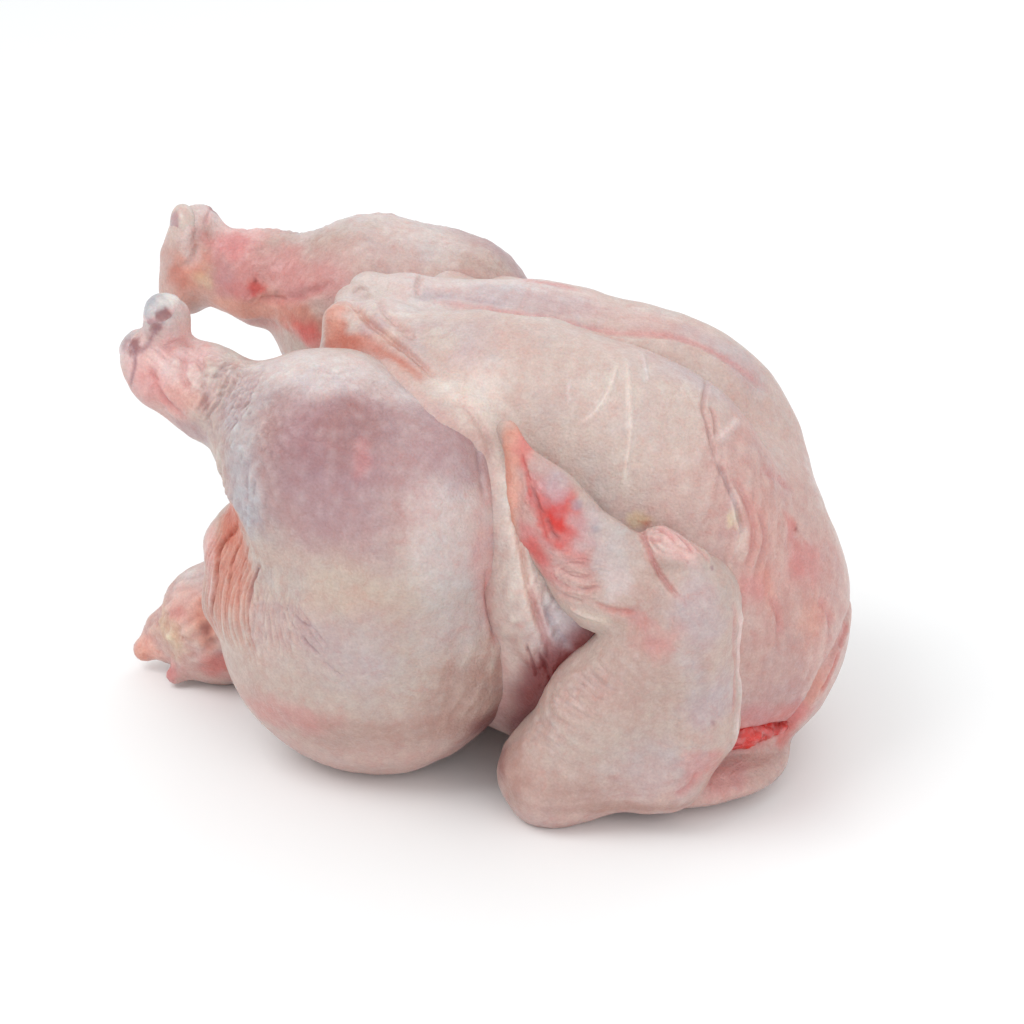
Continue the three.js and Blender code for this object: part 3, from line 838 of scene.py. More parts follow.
# %% Mesh helper
def new_piece(name, P, faces, values, material):
    """A mesh object at the origin with its place in its vertices; values become attributes."""
    mesh = bpy.data.meshes.new(name)
    mesh.from_pydata(metres(P).tolist(), [], faces.tolist())
    mesh.polygons.foreach_set("use_smooth", np.ones(len(mesh.polygons), bool))
    for key, data in values.items():
        if data.ndim == 2:
            layer = mesh.attributes.new(key, "FLOAT_COLOR", "POINT")
            layer.data.foreach_set("color", np.hstack([data, np.ones((len(P), 1))]).astype(F).ravel())
        else:
            layer = mesh.attributes.new(key, "FLOAT", "POINT")
            layer.data.foreach_set("value", data.astype(F))
    mesh.materials.append(material)
    mesh.update()
    piece = bpy.data.objects.new(name, mesh)
    bpy.context.collection.objects.link(piece)
    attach(piece, "root")
    print(name, len(P), "vertices", len(faces), "triangles")
    return piece


# %% Making a skin
rough_grid = 1.0
FINE_REACH = (3.6, 1.8)  # how near a fold or ledge the triangles are split once and once more


def make_skin(name, field, low, high, grid, tint, work, seed, slot="skin", material=None):
    """One closed piece: net, settle, finer triangles along its folds, relief, colour and mesh."""
    P, quads = net(field, low, high, grid * rough_grid)
    P = settle(field, P)[0]
    faces = triangles(P, quads)
    laid = routes_of(field, work, seed)
    lines = laid[1] + laid[2]
    if lines:
        for reach in FINE_REACH:
            near = nearest(P, np.concatenate(lines)) < reach
            P, faces = refine(field, P, faces, near[faces].all(1))
    P, N = settle(field, P, 1)
    P, values = dress(field, P, N, tint(P), work, laid, seed)
    return new_piece(name, P, faces, values, material or SKIN)


# %% [markdown]
# ## Skin material
# Raw skin is thin and moist: light sinks in a little and comes out pinker, and the wet film on
# top gives soft highlights.  The colour comes from the mesh and is broken up by noise at five
# sizes: two of broad blushes, faint veins, mottling of a few millimetres and a fine grain.  A Bump
# node carries only what is too fine for the mesh, the grain of the skin itself.


# %% Nodes
def add(tree, kind, inputs, **settings):
    """A node of one kind; inputs are numbers or other nodes' outputs, by socket name."""
    made = tree.nodes.new(kind)
    for key, value in settings.items():
        setattr(made, key, value)
    for key, value in inputs.items():
        if isinstance(value, bpy.types.NodeSocket):
            tree.links.new(value, made.inputs[key])
        else:
            made.inputs[key].default_value = value
    return made


def blend(tree, share, a, b, mode="MIX"):
    """Colour a mixed with colour b by share, which is a number or an output."""
    made = tree.nodes.new("ShaderNodeMix")
    made.data_type = "RGBA"
    made.blend_type = mode
    for socket, value in ((made.inputs[0], share), (made.inputs[6], a), (made.inputs[7], b)):
        if isinstance(value, bpy.types.NodeSocket):
            tree.links.new(value, socket)
        else:
            socket.default_value = value
    return made.outputs[2]


def spread(tree, value, low, high, to_low, to_high):
    """Carries value from the range low..high to to_low..to_high, clamped."""
    inputs = {"Value": value, "From Min": low, "From Max": high, "To Min": to_low, "To Max": to_high}
    return add(tree, "ShaderNodeMapRange", inputs).outputs["Result"]


def skin_paint(name, coat=0.3, deep=0.3, dull=(0.38, 0.58), relief=0.7, fibre=(1.0, 1.0, 1.0)):
    """Moist skin over flesh: tint attribute, noise at five sizes, pale follicles, fine bump."""
    material = bpy.data.materials.new(name)
    material.use_nodes = True
    tree = material.node_tree
    shader = tree.nodes["Principled BSDF"]
    at = tree.nodes.new("ShaderNodeTexCoord").outputs["Object"]
    at = add(tree, "ShaderNodeMapping", {"Vector": at, "Scale": fibre}).outputs["Vector"]
    tint = add(tree, "ShaderNodeAttribute", {}, attribute_name="tint").outputs["Color"]
    dots = add(tree, "ShaderNodeAttribute", {}, attribute_name="dots").outputs["Fac"]

    def clouds(scale, detail, rough=0.6, bend=0.0):
        inputs = {"Vector": at, "Scale": scale, "Detail": detail, "Roughness": rough, "Distortion": bend}
        return add(tree, "ShaderNodeTexNoise", inputs).outputs["Fac"]

    broad, cool = clouds(46.0, 4.0), clouds(78.0, 3.0)
    fine, veins, grain = clouds(230.0, 5.0), clouds(150.0, 5.0, 0.65, 1.2), clouds(1150.0, 3.0)
    colour = tint
    for pattern, low, high, most, over, mode in (
        (broad, 0.46, 0.68, 0.6, (1.0, 0.87, 0.86, 1.0), "MULTIPLY"),
        (cool, 0.5, 0.7, 0.7, (0.91, 0.95, 1.0, 1.0), "MULTIPLY"),
        (fine, 0.46, 0.7, 0.6, (1.0, 0.84, 0.82, 1.0), "MULTIPLY"),
        (veins, 0.56, 0.66, 0.5, (0.97, 0.80, 0.79, 1.0), "MULTIPLY"),
        (fine, 0.5, 0.25, 0.22, (1.0, 0.97, 0.94, 1.0), "SOFT_LIGHT"),
    ):
        colour = blend(tree, spread(tree, pattern, low, high, 0.0, most), colour, over, mode)
    shade = spread(tree, grain, 0.3, 0.7, 0.9, 1.07)
    grey = add(tree, "ShaderNodeCombineColor", {"Red": shade, "Green": shade, "Blue": shade}).outputs[0]
    colour = blend(tree, 1.0, colour, grey, "MULTIPLY")
    pale = spread(tree, dots, 0.1, 1.0, 0.0, 0.22)
    colour = blend(tree, pale, colour, (0.62, 0.53, 0.52, 1.0))
    tree.links.new(colour, shader.inputs["Base Color"])

    tree.links.new(spread(tree, fine, 0.3, 0.7, dull[0], dull[1]), shader.inputs["Roughness"])
    scales = add(tree, "ShaderNodeTexVoronoi", {"Vector": at, "Scale": 900.0}).outputs["Distance"]
    inputs = {0: scales, 1: 0.5, 2: grain}
    close = add(tree, "ShaderNodeMath", inputs, operation="MULTIPLY_ADD").outputs[0]
    inputs = {"Strength": relief, "Distance": 0.0004, "Height": close}
    pores = add(tree, "ShaderNodeBump", inputs).outputs["Normal"]
    inputs = {"Strength": 0.55 * relief, "Distance": 0.0012, "Height": fine, "Normal": pores}
    bump = add(tree, "ShaderNodeBump", inputs).outputs["Normal"]
    tree.links.new(bump, shader.inputs["Normal"])
    shader.inputs["Subsurface Weight"].default_value = deep
    shader.inputs["Subsurface Radius"].default_value = (1.0, 0.36, 0.22)
    shader.inputs["Subsurface Scale"].default_value = 0.003
    shader.inputs["Specular IOR Level"].default_value = 0.45
    shader.inputs["Coat Weight"].default_value = coat
    shader.inputs["Coat Roughness"].default_value = 0.22
    return material


SKIN = skin_paint("raw_skin")
FLESH = skin_paint("wet_flesh", 0.6, 0.4, (0.25, 0.42), 0.8, (0.45, 1.0, 1.0))
GRISTLE = skin_paint("gristle", 0.45, 0.4, (0.3, 0.45), 0.4)
FAT = skin_paint("soft_fat", 0.15, 0.5, (0.45, 0.6), 0.9)
print("materials:", [m.name for m in bpy.data.materials])

# %% [markdown]
# ## The trunk
# The breast is pale cream, pinker towards the crop, with the near lobe's crest sharp against a
# pink hollow along the keel.  Two thin tendons arch down from the crest, soft folds gather at
# the cavity's rim, and a dark crease with fat beside it marks the front of the breast.

# %% Work on the trunk
TRUNK_WORK = dict(
    lumps=[(34.0, 0.8), (11.0, 0.3)],
    ledges=[
        # the near lobe's crest stands sharp against the hollow along the keel
        (((780, 404), (755, 389), (734, 374), (710, 359), (686, 348), (658, 342), (630, 342), (583, 333),
          (534, 323), (492, 317), (448, 309), (412, 303)), 2.6, 13.0, 0.9),
        (((575, 292), (555, 288), (538, 283), (520, 281)), 0.7, 7.0, 1.8),
    ],
    folds=[
        # the crease where the crop's skin hangs from the breast, and its short side folds
        (((701, 374), (704, 400), (708, 424), (713, 446), (718, 464)), 0.8, 0.9, BLUSH, 0.6),
        (((714, 456), (727, 482), (737, 510), (742, 542)), 0.8, 1.0, MAUVE, 0.45),
        (((709, 404), (714, 412), (716, 426), (715, 440)), 0.8, 0.7, BLUSH, 0.6),
        (((716, 440), (730, 430), (741, 416)), 1.1, -0.7, PALE, 0.4),
        (((728, 470), (742, 492), (752, 520), (752, 548), (742, 572)), 1.1, 0.9, ROSE, 0.3),
        (((752, 502), (763, 524), (764, 548), (755, 574)), 1.1, 0.8, ROSE, 0.25),
        (((733, 490), (733, 514), (738, 534)), 1.0, -0.6, PALE, 0.5),
        (((760, 470), (779, 478), (794, 492)), 1.4, 0.8, ROSE, 0.4),
        (((768, 592), (778, 614), (780, 640)), 1.5, 0.8, ROSE, 0.4),
        # tendons that arch down from the crest
        (((621, 351), (628, 372), (630, 400), (630, 436), (625, 474), (622, 505)), 0.85, -0.6, MILK, 0.45),
        (((618, 358), (611, 386), (597, 409), (578, 428)), 0.85, -0.7, MILK, 0.5),
        (((640, 352), (646, 370), (648, 384)), 0.7, -0.5, PALE, 0.5),
        (((571, 378), (569, 392), (573, 404)), 0.6, -0.35, PALE, 0.4),
        # folds beside the cavity's rim
        (((349, 296), (358, 312), (370, 324), (390, 340), (418, 362), (446, 386)), 1.2, 1.5, SALMON, 0.5),
        (((372, 298), (384, 312), (402, 330), (425, 348)), 1.2, 0.9, BLUSH, 0.4),
        (((420, 297), (417, 288), (423, 276)), 1.0, 0.9, BLUSH, 0.4),
        (((352, 296), (362, 289), (372, 291)), 1.1, 0.8, BLUSH, 0.4),
        (((404, 300), (440, 296), (480, 300), (520, 310)), 1.6, 0.7, LILAC, 0.5),
        # folds between the drumstick and the wing
        (((452, 396), (472, 414), (486, 438), (494, 470)), 1.4, 1.0, BLUSH, 0.3),
        (((513, 500), (521, 548), (531, 598), (545, 640)), 1.1, 1.0, SALMON, 0.35),
        (((528, 580), (540, 622), (552, 660)), 1.1, 1.0, ROSE, 0.4),
        (((541, 596), (556, 630), (573, 654)), 1.2, 0.9, LILAC, 0.5),
        (((524, 645), (532, 664), (538, 684)), 0.6, 0.7, WINE, 0.55),
        (((538, 650), (546, 668), (552, 684)), 0.6, 0.7, WINE, 0.55),
        # small folds of the neck skin at the right
        (((841, 648), (835, 664), (828, 680), (819, 693)), 1.0, 1.3, RED, 0.6),
        (((848, 622), (843, 636), (838, 650)), 1.0, 0.9, ROSE, 0.5),
        (((818, 596), (829, 612), (833, 630)), 1.4, 0.8, ROSE, 0.4),
    ],
    wrinkles=[
        ((745, 520), (26, 30, 34), (0.1, 0.4, 1.0), 4.0, 1.0),
        ((800, 620), (26, 40, 44), (0.2, 0.3, 1.0), 5.0, 0.8),
        ((520, 600), (18, 20, 44), (0.3, 0.0, 1.0), 3.2, 1.1),
        ((560, 640), (24, 20, 24), (0.4, 0.0, 1.0), 4.0, 0.8),
        ((380, 320), (26, 22, 22), (0.8, 0.2, -0.6), 3.6, 1.0),
        ((560, 310), (60, 18, 12), (1.0, 0.0, -0.1), 4.0, 0.6),
        ((760, 770), (40, 30, 12), (0.8, 0.7, 0.0), 4.5, 0.8),
        ((190, 600), (26, 22, 22), (1.0, 0.0, 0.6), 4.5, 2.6),
        ((165, 640), (22, 16, 16), (1.0, 0.2, 0.5), 3.4, 2.0),
        ((640, 440), (60, 40, 50), (0.2, 0.6, 1.0), 5.5, 0.28),
    ],
    dabs=[
        ((480, 288), PALE, (60, 16, 12), 0.7),
        ((400, 305), PALE, (30, 14, 12), 0.55),
        ((620, 318), BLUSH, (66, 8, 9), 0.55),
        ((730, 355), LILAC, (30, 8, 14), 0.5),
        ((520, 296), LILAC, (34, 7, 8), 0.5),
        ((548, 284), ROSE, (14, 4, 4), 0.6),
        ((690, 372), LILAC, (20, 12, 12), 0.5),
        ((560, 470), SAND, (34, 30, 30), 0.35),
        ((450, 340), LILAC, (16, 14, 16), 0.4),
        ((755, 470), BLUSH, (22, 26, 34), 0.6),
        ((790, 600), BLUSH, (24, 40, 46), 0.8),
        ((700, 560), BLUSH, (30, 30, 24), 0.5),
        ((770, 540), SALMON, (16, 18, 22), 0.2),
        ((791, 524), RED, (3.5, 4, 5), 0.5),
        ((797, 528), BLOOD, (1.1, 1.1, 1.1), 0.85),
        ((806, 560), ROSE, (7, 9, 10), 0.5),
        ((738, 496), MILK, (3, 3, 7), 0.35),
        ((734, 519), BUTTER, (2.6, 3, 3.6), 0.75),
        ((742, 545), MILK, (2.6, 3, 6), 0.6),
        ((640, 520), BUTTER, (4, 4, 2.6), 0.8),
        ((646, 523), RUST, (2, 2, 1.6), 0.8),
        ((756, 586), ROSE, (9, 9, 6), 0.5),
        ((815, 622), SALMON, (8, 8, 10), 0.5),
        ((812, 685), SALMON, (7, 7, 8), 0.6),
        ((845, 630), BLUSH, (9, 14, 14), 0.6),
        ((336, 338), RUST, (6, 7, 7), 0.85),
        ((352, 346), RUST, (6, 6, 4), 0.85),
        ((336, 310), SALMON, (5, 7, 9), 0.5),
        # the next three rows are painted highlights: a small bluish one on a fold by the rim, and a cream
        # one where the web's skin runs up to the rim
        ((372, 327), LILAC, (5, 5, 4), 0.6),
        ((478, 405), MILK, (10, 12, 8), 0.6),
        ((470, 383), MILK, (12, 12, 6), 0.5),
        ((440, 345), BUTTER, (8, 8, 14), 0.15),
        ((503, 520), CREAM, (6, 12, 34), 0.5),
        # the next two rows are painted lilac-grey shade between the web and the wing
        ((570, 622), LILAC, (15, 13, 13), 0.8),
        ((560, 650), SLATE, (9, 8, 7), 0.3),
        ((548, 600), PALE, (9, 10, 18), 0.35),
        ((538, 672), WINE, (7, 7, 7), 0.45),
        ((742, 732), WINE, (8, 9, 5), 0.55),
        ((752, 722), ROSE, (13, 11, 8), 0.75),
        ((780, 720), RED, (9, 9, 7), 0.65),
        ((752, 742), ROSE, (10, 11, 5), 0.75),
        ((785, 738), SCARLET, (6, 7, 4), 0.8),
        ((800, 716), ROSE, (6, 7, 7), 0.5),
        ((770, 700), MAUVE, (16, 22, 16), 0.45),
        # painted shade low on the right of the breast, above the neck skin
        ((775, 660), UMBER, (16, 22, 20), 0.25),
        ((770, 768), SAND, (26, 22, 9), 0.5),
        ((720, 780), ROSE, (14, 14, 5), 0.45),
        ((190, 625), BLUSH, (20, 18, 14), 0.35),
        ((190, 585), PALE, (14, 16, 7), 0.6),
        ((182, 606), PEACH, (14, 16, 12), 0.5),
        ((168, 634), BUTTER, (12, 12, 9), 0.5),
        ((176, 614), ROSE, (5, 6, 4), 0.35),
        ((144, 652), PEACH, (9, 9, 8), 0.9),
        ((140, 657), SALMON, (4, 5, 4), 0.7),
        ((167, 673), ROSE, (6, 7, 5), 0.7),
        ((220, 666), RED, (9, 14, 8), 0.6),
        ((205, 620), SALMON, (6, 10, 14), 0.9),
        ((206, 632), BLOOD, (2.4, 3, 4), 0.7),
    ],
    streaks=[
        (((334, 335), (345, 338), (364, 342), (384, 354), (406, 368), (436, 386)), RUST, 2.4, 0.8),
        (((332, 346), (329, 322), (336, 304)), SALMON, 3.6, 0.6),
        # painted highlight on the cream ridge above the rim's fold
        (((430, 378), (450, 392), (468, 410)), MILK, 2.0, 0.6),
        (((790, 518), (795, 548), (802, 590)), ROSE, 3.0, 0.45),
        (((760, 560), (770, 590), (772, 620)), SALMON, 2.4, 0.45),
        # painted shade: the next two rows are the dark crevice where the web runs behind the wing
        (((602, 616), (588, 626), (566, 646), (546, 666), (526, 688), (508, 708)), WINE, 4.0, 0.8),
        (((606, 622), (594, 633), (572, 653), (552, 673), (532, 695), (514, 715)), BLOOD, 3.0, 0.9),
        # painted shade in a thin rose band just beyond the near lobe's crest
        (((412, 297), (448, 303), (492, 311), (534, 317), (583, 327), (630, 335), (658, 335), (686, 341),
          (712, 353), (737, 368), (758, 384), (782, 400)), ROSE, 1.7, 0.5),
        (((403, 276), (447, 271), (482, 275), (523, 286), (561, 296)), PALE, 2.4, 0.5),
        # painted highlight along the middle ridge of the web's fold
        (((495, 430), (507, 480), (516, 545), (528, 600), (541, 655)), MILK, 2.2, 0.5),
    ],
    pores=[
        ([((700, 560), (36, 40, 40), 0.5), ((800, 600), (30, 50, 50), 0.6),
          ((560, 400), (60, 30, 40), 0.15)], 4.6, 1.5, 0.18, (1, 1, 1)),
    ],
)

# %% Trunk mesh
def trunk_tint(P):
    """Cream on the breast, pinker low down and in front, red in the cavity, with painted shade where the
    limbs meet it.
    """
    x, z = P[:, 0], P[:, 2]
    legs = np.minimum(left_leg(P), right_leg(P))
    wings = np.minimum(left_wing(P), right_wing(P)) + 1.5 * noise(P, 9.0, 2)
    split = ease(2.2, -0.4, neck_fold(P) + 0.8 * noise(P, 5.0, 6))
    hollow = ease(2.5, -1.5, cavity(P)) * ease(-118.0, -96.0, x)
    return coated(
        P, CREAM,
        (BLUSH, 0.6 * ease(80.0, 10.0, z)),
        (BLUSH, 0.35 * ease(60.0, 105.0, x)),
        # painted shade: dark wine in the crease under each wing, and a little rose where the legs meet the
        # trunk
        (WINE, 0.9 * ease(13.0, 2.0, wings) * ease(74.0, 58.0, z) * ease(74.0, 62.0, x)),
        (ROSE, 0.2 * ease(3.0, 0.5, legs)),
        (ROSE, 0.6 * split * ease(60.0, 80.0, x) * ease(70.0, 24.0, z)),
        (RED, 0.7 * split * ease(60.0, 80.0, x) * ease(34.0, 24.0, z)),
        (SALMON, 0.8 * ease(7.0, 0.5, cavity(P))),
        (BLOOD, 0.85 * hollow),
    )


TRUNK_BOX = (-156.3, -82.1, -4.1), (128, 82, 166)
TRUNK_GRID = 1.84
body = make_skin("trunk_skin", trunk, *TRUNK_BOX, TRUNK_GRID, trunk_tint, TRUNK_WORK, 3)
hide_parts(NODE)

# %% [markdown]
# ## The legs
# The drumstick's skin is tight and goose-fleshed over dark meat, mauve in the middle and grey
# where the light skims it.  It overhangs a loose, salmon-coloured flap that is gathered into
# pleats, and the pleats run out over the pale thigh.

# %% Work on the left leg
LEFT_WORK = dict(
    lumps=[(26.0, 0.8), (8.0, 0.3)],
    ledges=[
        (((222, 478), (233, 499), (246, 522), (257, 544), (266, 560), (276, 572)), 1.6, 10.0, 1.0),
    ],
    folds=[
        # the drumstick's lower edge over the flap
        (((221, 472), (232, 497), (244, 520), (256, 544), (263, 558)), 1.1, 1.5, RUST, 0.5),
        # pleats of the flap
        (((236, 514), (224, 541), (216, 572), (213, 600), (215, 630)), 0.8, 1.3, RUST, 0.65),
        (((243, 524), (236, 550), (229, 578), (226, 606), (228, 628)), 0.55, 0.8, RUST, 0.5),
        (((250, 540), (243, 562), (238, 588), (238, 612)), 0.55, 0.7, RUST, 0.45),
        (((262, 562), (254, 578), (250, 596), (249, 612)), 0.7, 0.9, PLUM, 0.6),
        # short creases on the thigh
        (((294, 614), (303, 622), (314, 628)), 0.6, 0.5, PLUM, 0.5),
        (((299, 632), (308, 644), (320, 656)), 0.6, 0.5, PLUM, 0.45),
        (((322, 660), (334, 672), (346, 680)), 0.7, 0.4, MAUVE, 0.4),
        # the ankle
        (((131, 340), (135, 356), (133, 373), (130, 395)), 0.6, 0.35, PLUM, 0.7),
        (((168, 316), (154, 332), (144, 348), (134, 357)), 0.8, 0.35, PLUM, 0.6),
        (((150, 362), (156, 384), (168, 404), (190, 420)), 1.2, 1.1, ROSE, 0.5),
        (((186, 350), (183, 372), (190, 392)), 1.2, 0.8, ROSE, 0.35),
        (((160, 352), (180, 342), (196, 346)), 1.2, 0.8, ROSE, 0.3),
        (((200, 352), (204, 380), (206, 410), (214, 436)), 1.2, 0.9, MAUVE, 0.3),
        # folds down the front, beside the trunk
        (((462, 404), (474, 430), (482, 470), (485, 520)), 1.2, 0.7, LILAC, 0.35),
        (((486, 560), (490, 610), (498, 650)), 1.2, 0.8, ROSE, 0.35),
    ],
    fans=[
        ((((227, 507), (213, 537), (205, 575), (203, 612), (209, 645)),
          ((262, 562), (254, 580), (249, 602), (251, 634), (262, 664))), 16, 0.5, 0.45, RUST, 0.3),
        ((((256, 596), (252, 618), (250, 648)),
          ((298, 600), (312, 622), (334, 652))), 14, 0.7, 0.4, MAUVE, 0.35),
        ((((192, 414), (203, 396), (214, 372), (230, 356)),
          ((230, 440), (242, 418), (254, 392), (266, 366))), 9, 0.75, 0.6, MAUVE, 0.35),
        ((((300, 590), (340, 640), (400, 680)),
          ((330, 560), (380, 600), (440, 640))), 4, 2.4, 0.3, SAND, 0.1),
    ],
    wrinkles=[
        ((228, 385), (18, 18, 18), (0.55, 0.0, 0.85), 2.4, 1.2),
        ((244, 460), (20, 22, 38), (0.15, -0.3, 1.0), 2.8, 1.5),
        ((330, 400), (40, 24, 24), (0.2, -0.7, 0.7), 3.2, 0.9),
        ((270, 620), (22, 22, 26), (-0.1, -0.3, 1.0), 2.4, 0.9),
        ((232, 560), (14, 22, 30), (-0.2, -0.2, 1.0), 2.0, 0.35),
        ((170, 385), (16, 14, 14), (0.8, 0.0, -0.5), 3.0, 1.0),
        ((470, 690), (24, 20, 24), (0.3, 0.0, 1.0), 3.6, 0.8),
        ((400, 600), (60, 30, 50), (0.4, 0.0, 1.0), 5.5, 0.3),
    ],
    dabs=[
        ((400, 450), MAUVE, (46, 40, 30), 0.8),
        ((300, 455), PLUM, (30, 28, 30), 0.65),
        ((330, 520), MAUVE, (28, 28, 22), 0.6),
        ((350, 430), UMBER, (12, 12, 14), 0.25),
        ((362, 458), ROSE, (3.5, 7, 8), 0.35),
        ((460, 450), MAUVE, (18, 22, 24), 0.7),
        ((330, 368), PALE, (34, 22, 8), 0.7),
        ((262, 372), PALE, (16, 14, 8), 0.6),
        # the next two rows are a painted grey sheen where the light skims the drumstick's left side
        ((245, 400), ASH, (12, 14, 16), 0.7),
        ((240, 480), ASH, (9, 16, 24), 0.9),
        ((246, 500), SLATE, (8, 12, 20), 0.25),
        ((400, 380), PALE, (24, 20, 8), 0.45),
        ((450, 560), PALE, (20, 26, 28), 0.5),
        ((456, 600), ASH, (16, 22, 26), 0.6),
        ((400, 610), SAND, (34, 24, 22), 0.4),
        ((350, 600), BUTTER, (22, 20, 20), 0.12),
        ((340, 650), LILAC, (20, 20, 20), 0.45),
        ((484, 560), ROSE, (4, 14, 30), 0.35),
        # the next three rows are painted shade: in the crease between the thigh and the wing, and under
        # the thigh
        ((470, 700), UMBER, (22, 20, 18), 0.55),
        ((498, 730), WINE, (12, 16, 16), 0.75),
        ((380, 735), UMBER, (50, 26, 10), 0.5),
        ((280, 715), ROSE, (24, 16, 8), 0.4),
        ((270, 630), CREAM, (14, 16, 16), 0.6),
        ((230, 566), SALMON, (14, 14, 22), 0.7),
        ((234, 520), SALMON, (10, 12, 12), 0.95),
        ((234, 514), RUST, (9, 12, 10), 0.9),
        ((207, 560), PINK, (4, 10, 20), 0.6),
        ((214, 640), BLUSH, (7, 12, 10), 0.4),
        ((178, 372), MILK, (10, 9, 5), 0.7),
        ((190, 342), PINK, (14, 12, 12), 0.8),
        ((156, 380), PINK, (18, 15, 17), 0.8),
        ((142, 392), ROSE, (8, 10, 8), 0.3),
        ((185, 400), SALMON, (9, 8, 5), 0.4),
        ((165, 412), BLUSH, (14, 12, 9), 0.5),
        ((192, 432), MAUVE, (12, 10, 6), 0.7),
        ((154, 328), WINE, (3, 3, 3), 0.7),
        ((134, 346), WINE, (3, 3, 4), 0.8),
    ],
    pores=[
        ([((380, 440), (62, 44, 36), 1.0), ((250, 430), (34, 34, 40), 1.0)], 4.9, 1.6, 0.42, (1, 1, 0.6)),
        ([((420, 640), (60, 40, 36), 0.35)], 4.6, 1.3, 0.2, (1, 1, 1)),
    ],
)


# %% Work on the right leg
CALM = 0.5  # height of mirrored wrinkles and pleats, as a share


def mirrored(work, field, dx, dz):
    """The same work on the other side: x + dx, -y, z + dz for every route, with calmer wrinkles."""
    def flipped(routes):
        return [[(x + dx, -y, z + dz) for x, y, z in points] for points in place(field, routes)]

    def moved(rows):
        spots = flipped([[row[0]] for row in rows])
        return [(spot[0], *rest) for (_, *rest), spot in zip(rows, spots)]

    other = {"lumps": work["lumps"], "dabs": moved(work.get("dabs", []))}
    for key in ("folds", "ledges", "streaks"):
        rows = work.get(key, [])
        paths = flipped([row[0] for row in rows])
        other[key] = [(path, *rest) for (_, *rest), path in zip(rows, paths)]
    other["wrinkles"] = [
        (spot, size, (way[0], -way[1], way[2]), pitch, CALM * height)
        for spot, size, way, pitch, height in moved(work.get("wrinkles", []))
    ]
    other["fans"] = [
        (flipped(pair), count, width, CALM * depth, *rest)
        for pair, count, width, depth, *rest in work.get("fans", [])
    ]
    other["pores"] = [(moved(zones), *rest) for zones, *rest in work.get("pores", [])]
    return other


RIGHT_WORK = mirrored(LEFT_WORK, left_leg, -20, 8)
RIGHT_WORK["folds"] += [
    (((214, 203), (209, 214), (204, 227)), 0.9, 0.35, ROSE, 0.4),
    (((250, 300), (284, 299), (309, 293), (336, 282)), 1.6, 1.4, ROSE, 0.5),
    (((196, 312), (230, 318), (262, 322), (290, 334)), 1.6, 0.9, ROSE, 0.3),
    (((188, 207), (197, 240), (190, 262), (172, 272)), 1.5, 0.9, BLUSH, 0.3),
]
RIGHT_WORK["dabs"] += [
    ((330, 262), BLUSH, (50, 14, 18), 0.5),
    ((290, 280), ROSE, (40, 14, 12), 0.6),
    ((262, 302), SALMON, (36, 12, 7), 0.65),
    ((182, 276), RUST, (8, 9, 6), 0.6),
    ((200, 268), SALMON, (12, 11, 9), 0.8),
    ((204, 278), BUTTER, (6, 6, 5), 0.4),
    ((228, 246), ROSE, (10, 9, 8), 0.8),
    ((232, 288), ROSE, (10, 9, 7), 0.8),
    ((220, 268), MAUVE, (8, 8, 6), 0.5),
    ((256, 287), RED, (4, 4, 4), 0.8),
    ((257, 282), BLOOD, (0.9, 0.9, 1.0), 0.9),
    ((300, 320), RUST, (24, 12, 6), 0.7),
    ((304, 332), RED, (12, 10, 5), 0.75),
    ((230, 308), SALMON, (18, 10, 5), 0.8),
    ((206, 212), PALE, (8, 8, 10), 0.6),
    ((188, 245), PALE, (4, 8, 10), 0.6),
    ((420, 228), CREAM, (28, 12, 5), 0.45),
    ((200, 232), BLUSH, (8, 8, 8), 0.5),
]
RIGHT_WORK["wrinkles"] += [
    ((290, 262), (44, 16, 16), (0.4, 0.0, 0.9), 3.0, 0.9),
    ((290, 310), (40, 14, 10), (1.0, 0.0, 0.2), 3.0, 0.9),
    ((205, 225), (12, 12, 14), (0.1, 0.3, 1.0), 2.6, 0.5),
    ((430, 240), (40, 20, 20), (0.3, 0.0, 1.0), 3.6, 0.6),
]
RIGHT_WORK["pores"] += [
    ([((330, 250), (50, 20, 24), 0.9), ((450, 250), (30, 20, 24), 0.9)], 4.9, 1.25, 0.4, (1, 1, 0.8)),
]


# %% Leg meshes
def leg_tint(P):
    """Grey-cream thigh, pinker low down and at the ankle, red at the cavity, with a little painted shade
    where it meets the trunk.
    """
    return coated(
        P, SAND,
        (BLUSH, 0.5 * ease(-84.0, -112.0, P[:, 0])),
        (BLUSH, 0.5 * ease(46.0, 5.0, P[:, 2])),
        (BLOOD, 0.8 * ease(3.0, 1.2, cavity(P))),
        (ASH, 0.45 * ease(3.0, 0.5, left_gristle(P))),
        (CREAM, 0.85 * ease(3.5, 0.5, right_gristle(P))),
        # painted shade: a little rose where the leg meets the trunk
        (ROSE, 0.18 * ease(3.0, 0.5, trunk(P))),
    )


LEG_INNER, LEG_OUTER = -4.1, 98.1  # the box of a leg, sideways from the middle of the bird
for label, field, work, side, leg_grid in (
    ("left_leg_skin", left_leg, LEFT_WORK, -1, 1.42),
    ("right_leg_skin", right_leg, RIGHT_WORK, 1, 1.41),
):
    low, high = sorted((side * LEG_INNER, side * LEG_OUTER))
    make_skin(label, field, (-158.3, low, -4.1), (34, high, 170), leg_grid, leg_tint, work, 5)

# %% [markdown]
# ## The wings
# Each wing is folded in three: the upper arm and forearm lie against each other under one
# paddle of skin, and the thin pointed hand turns back over the knee's web.

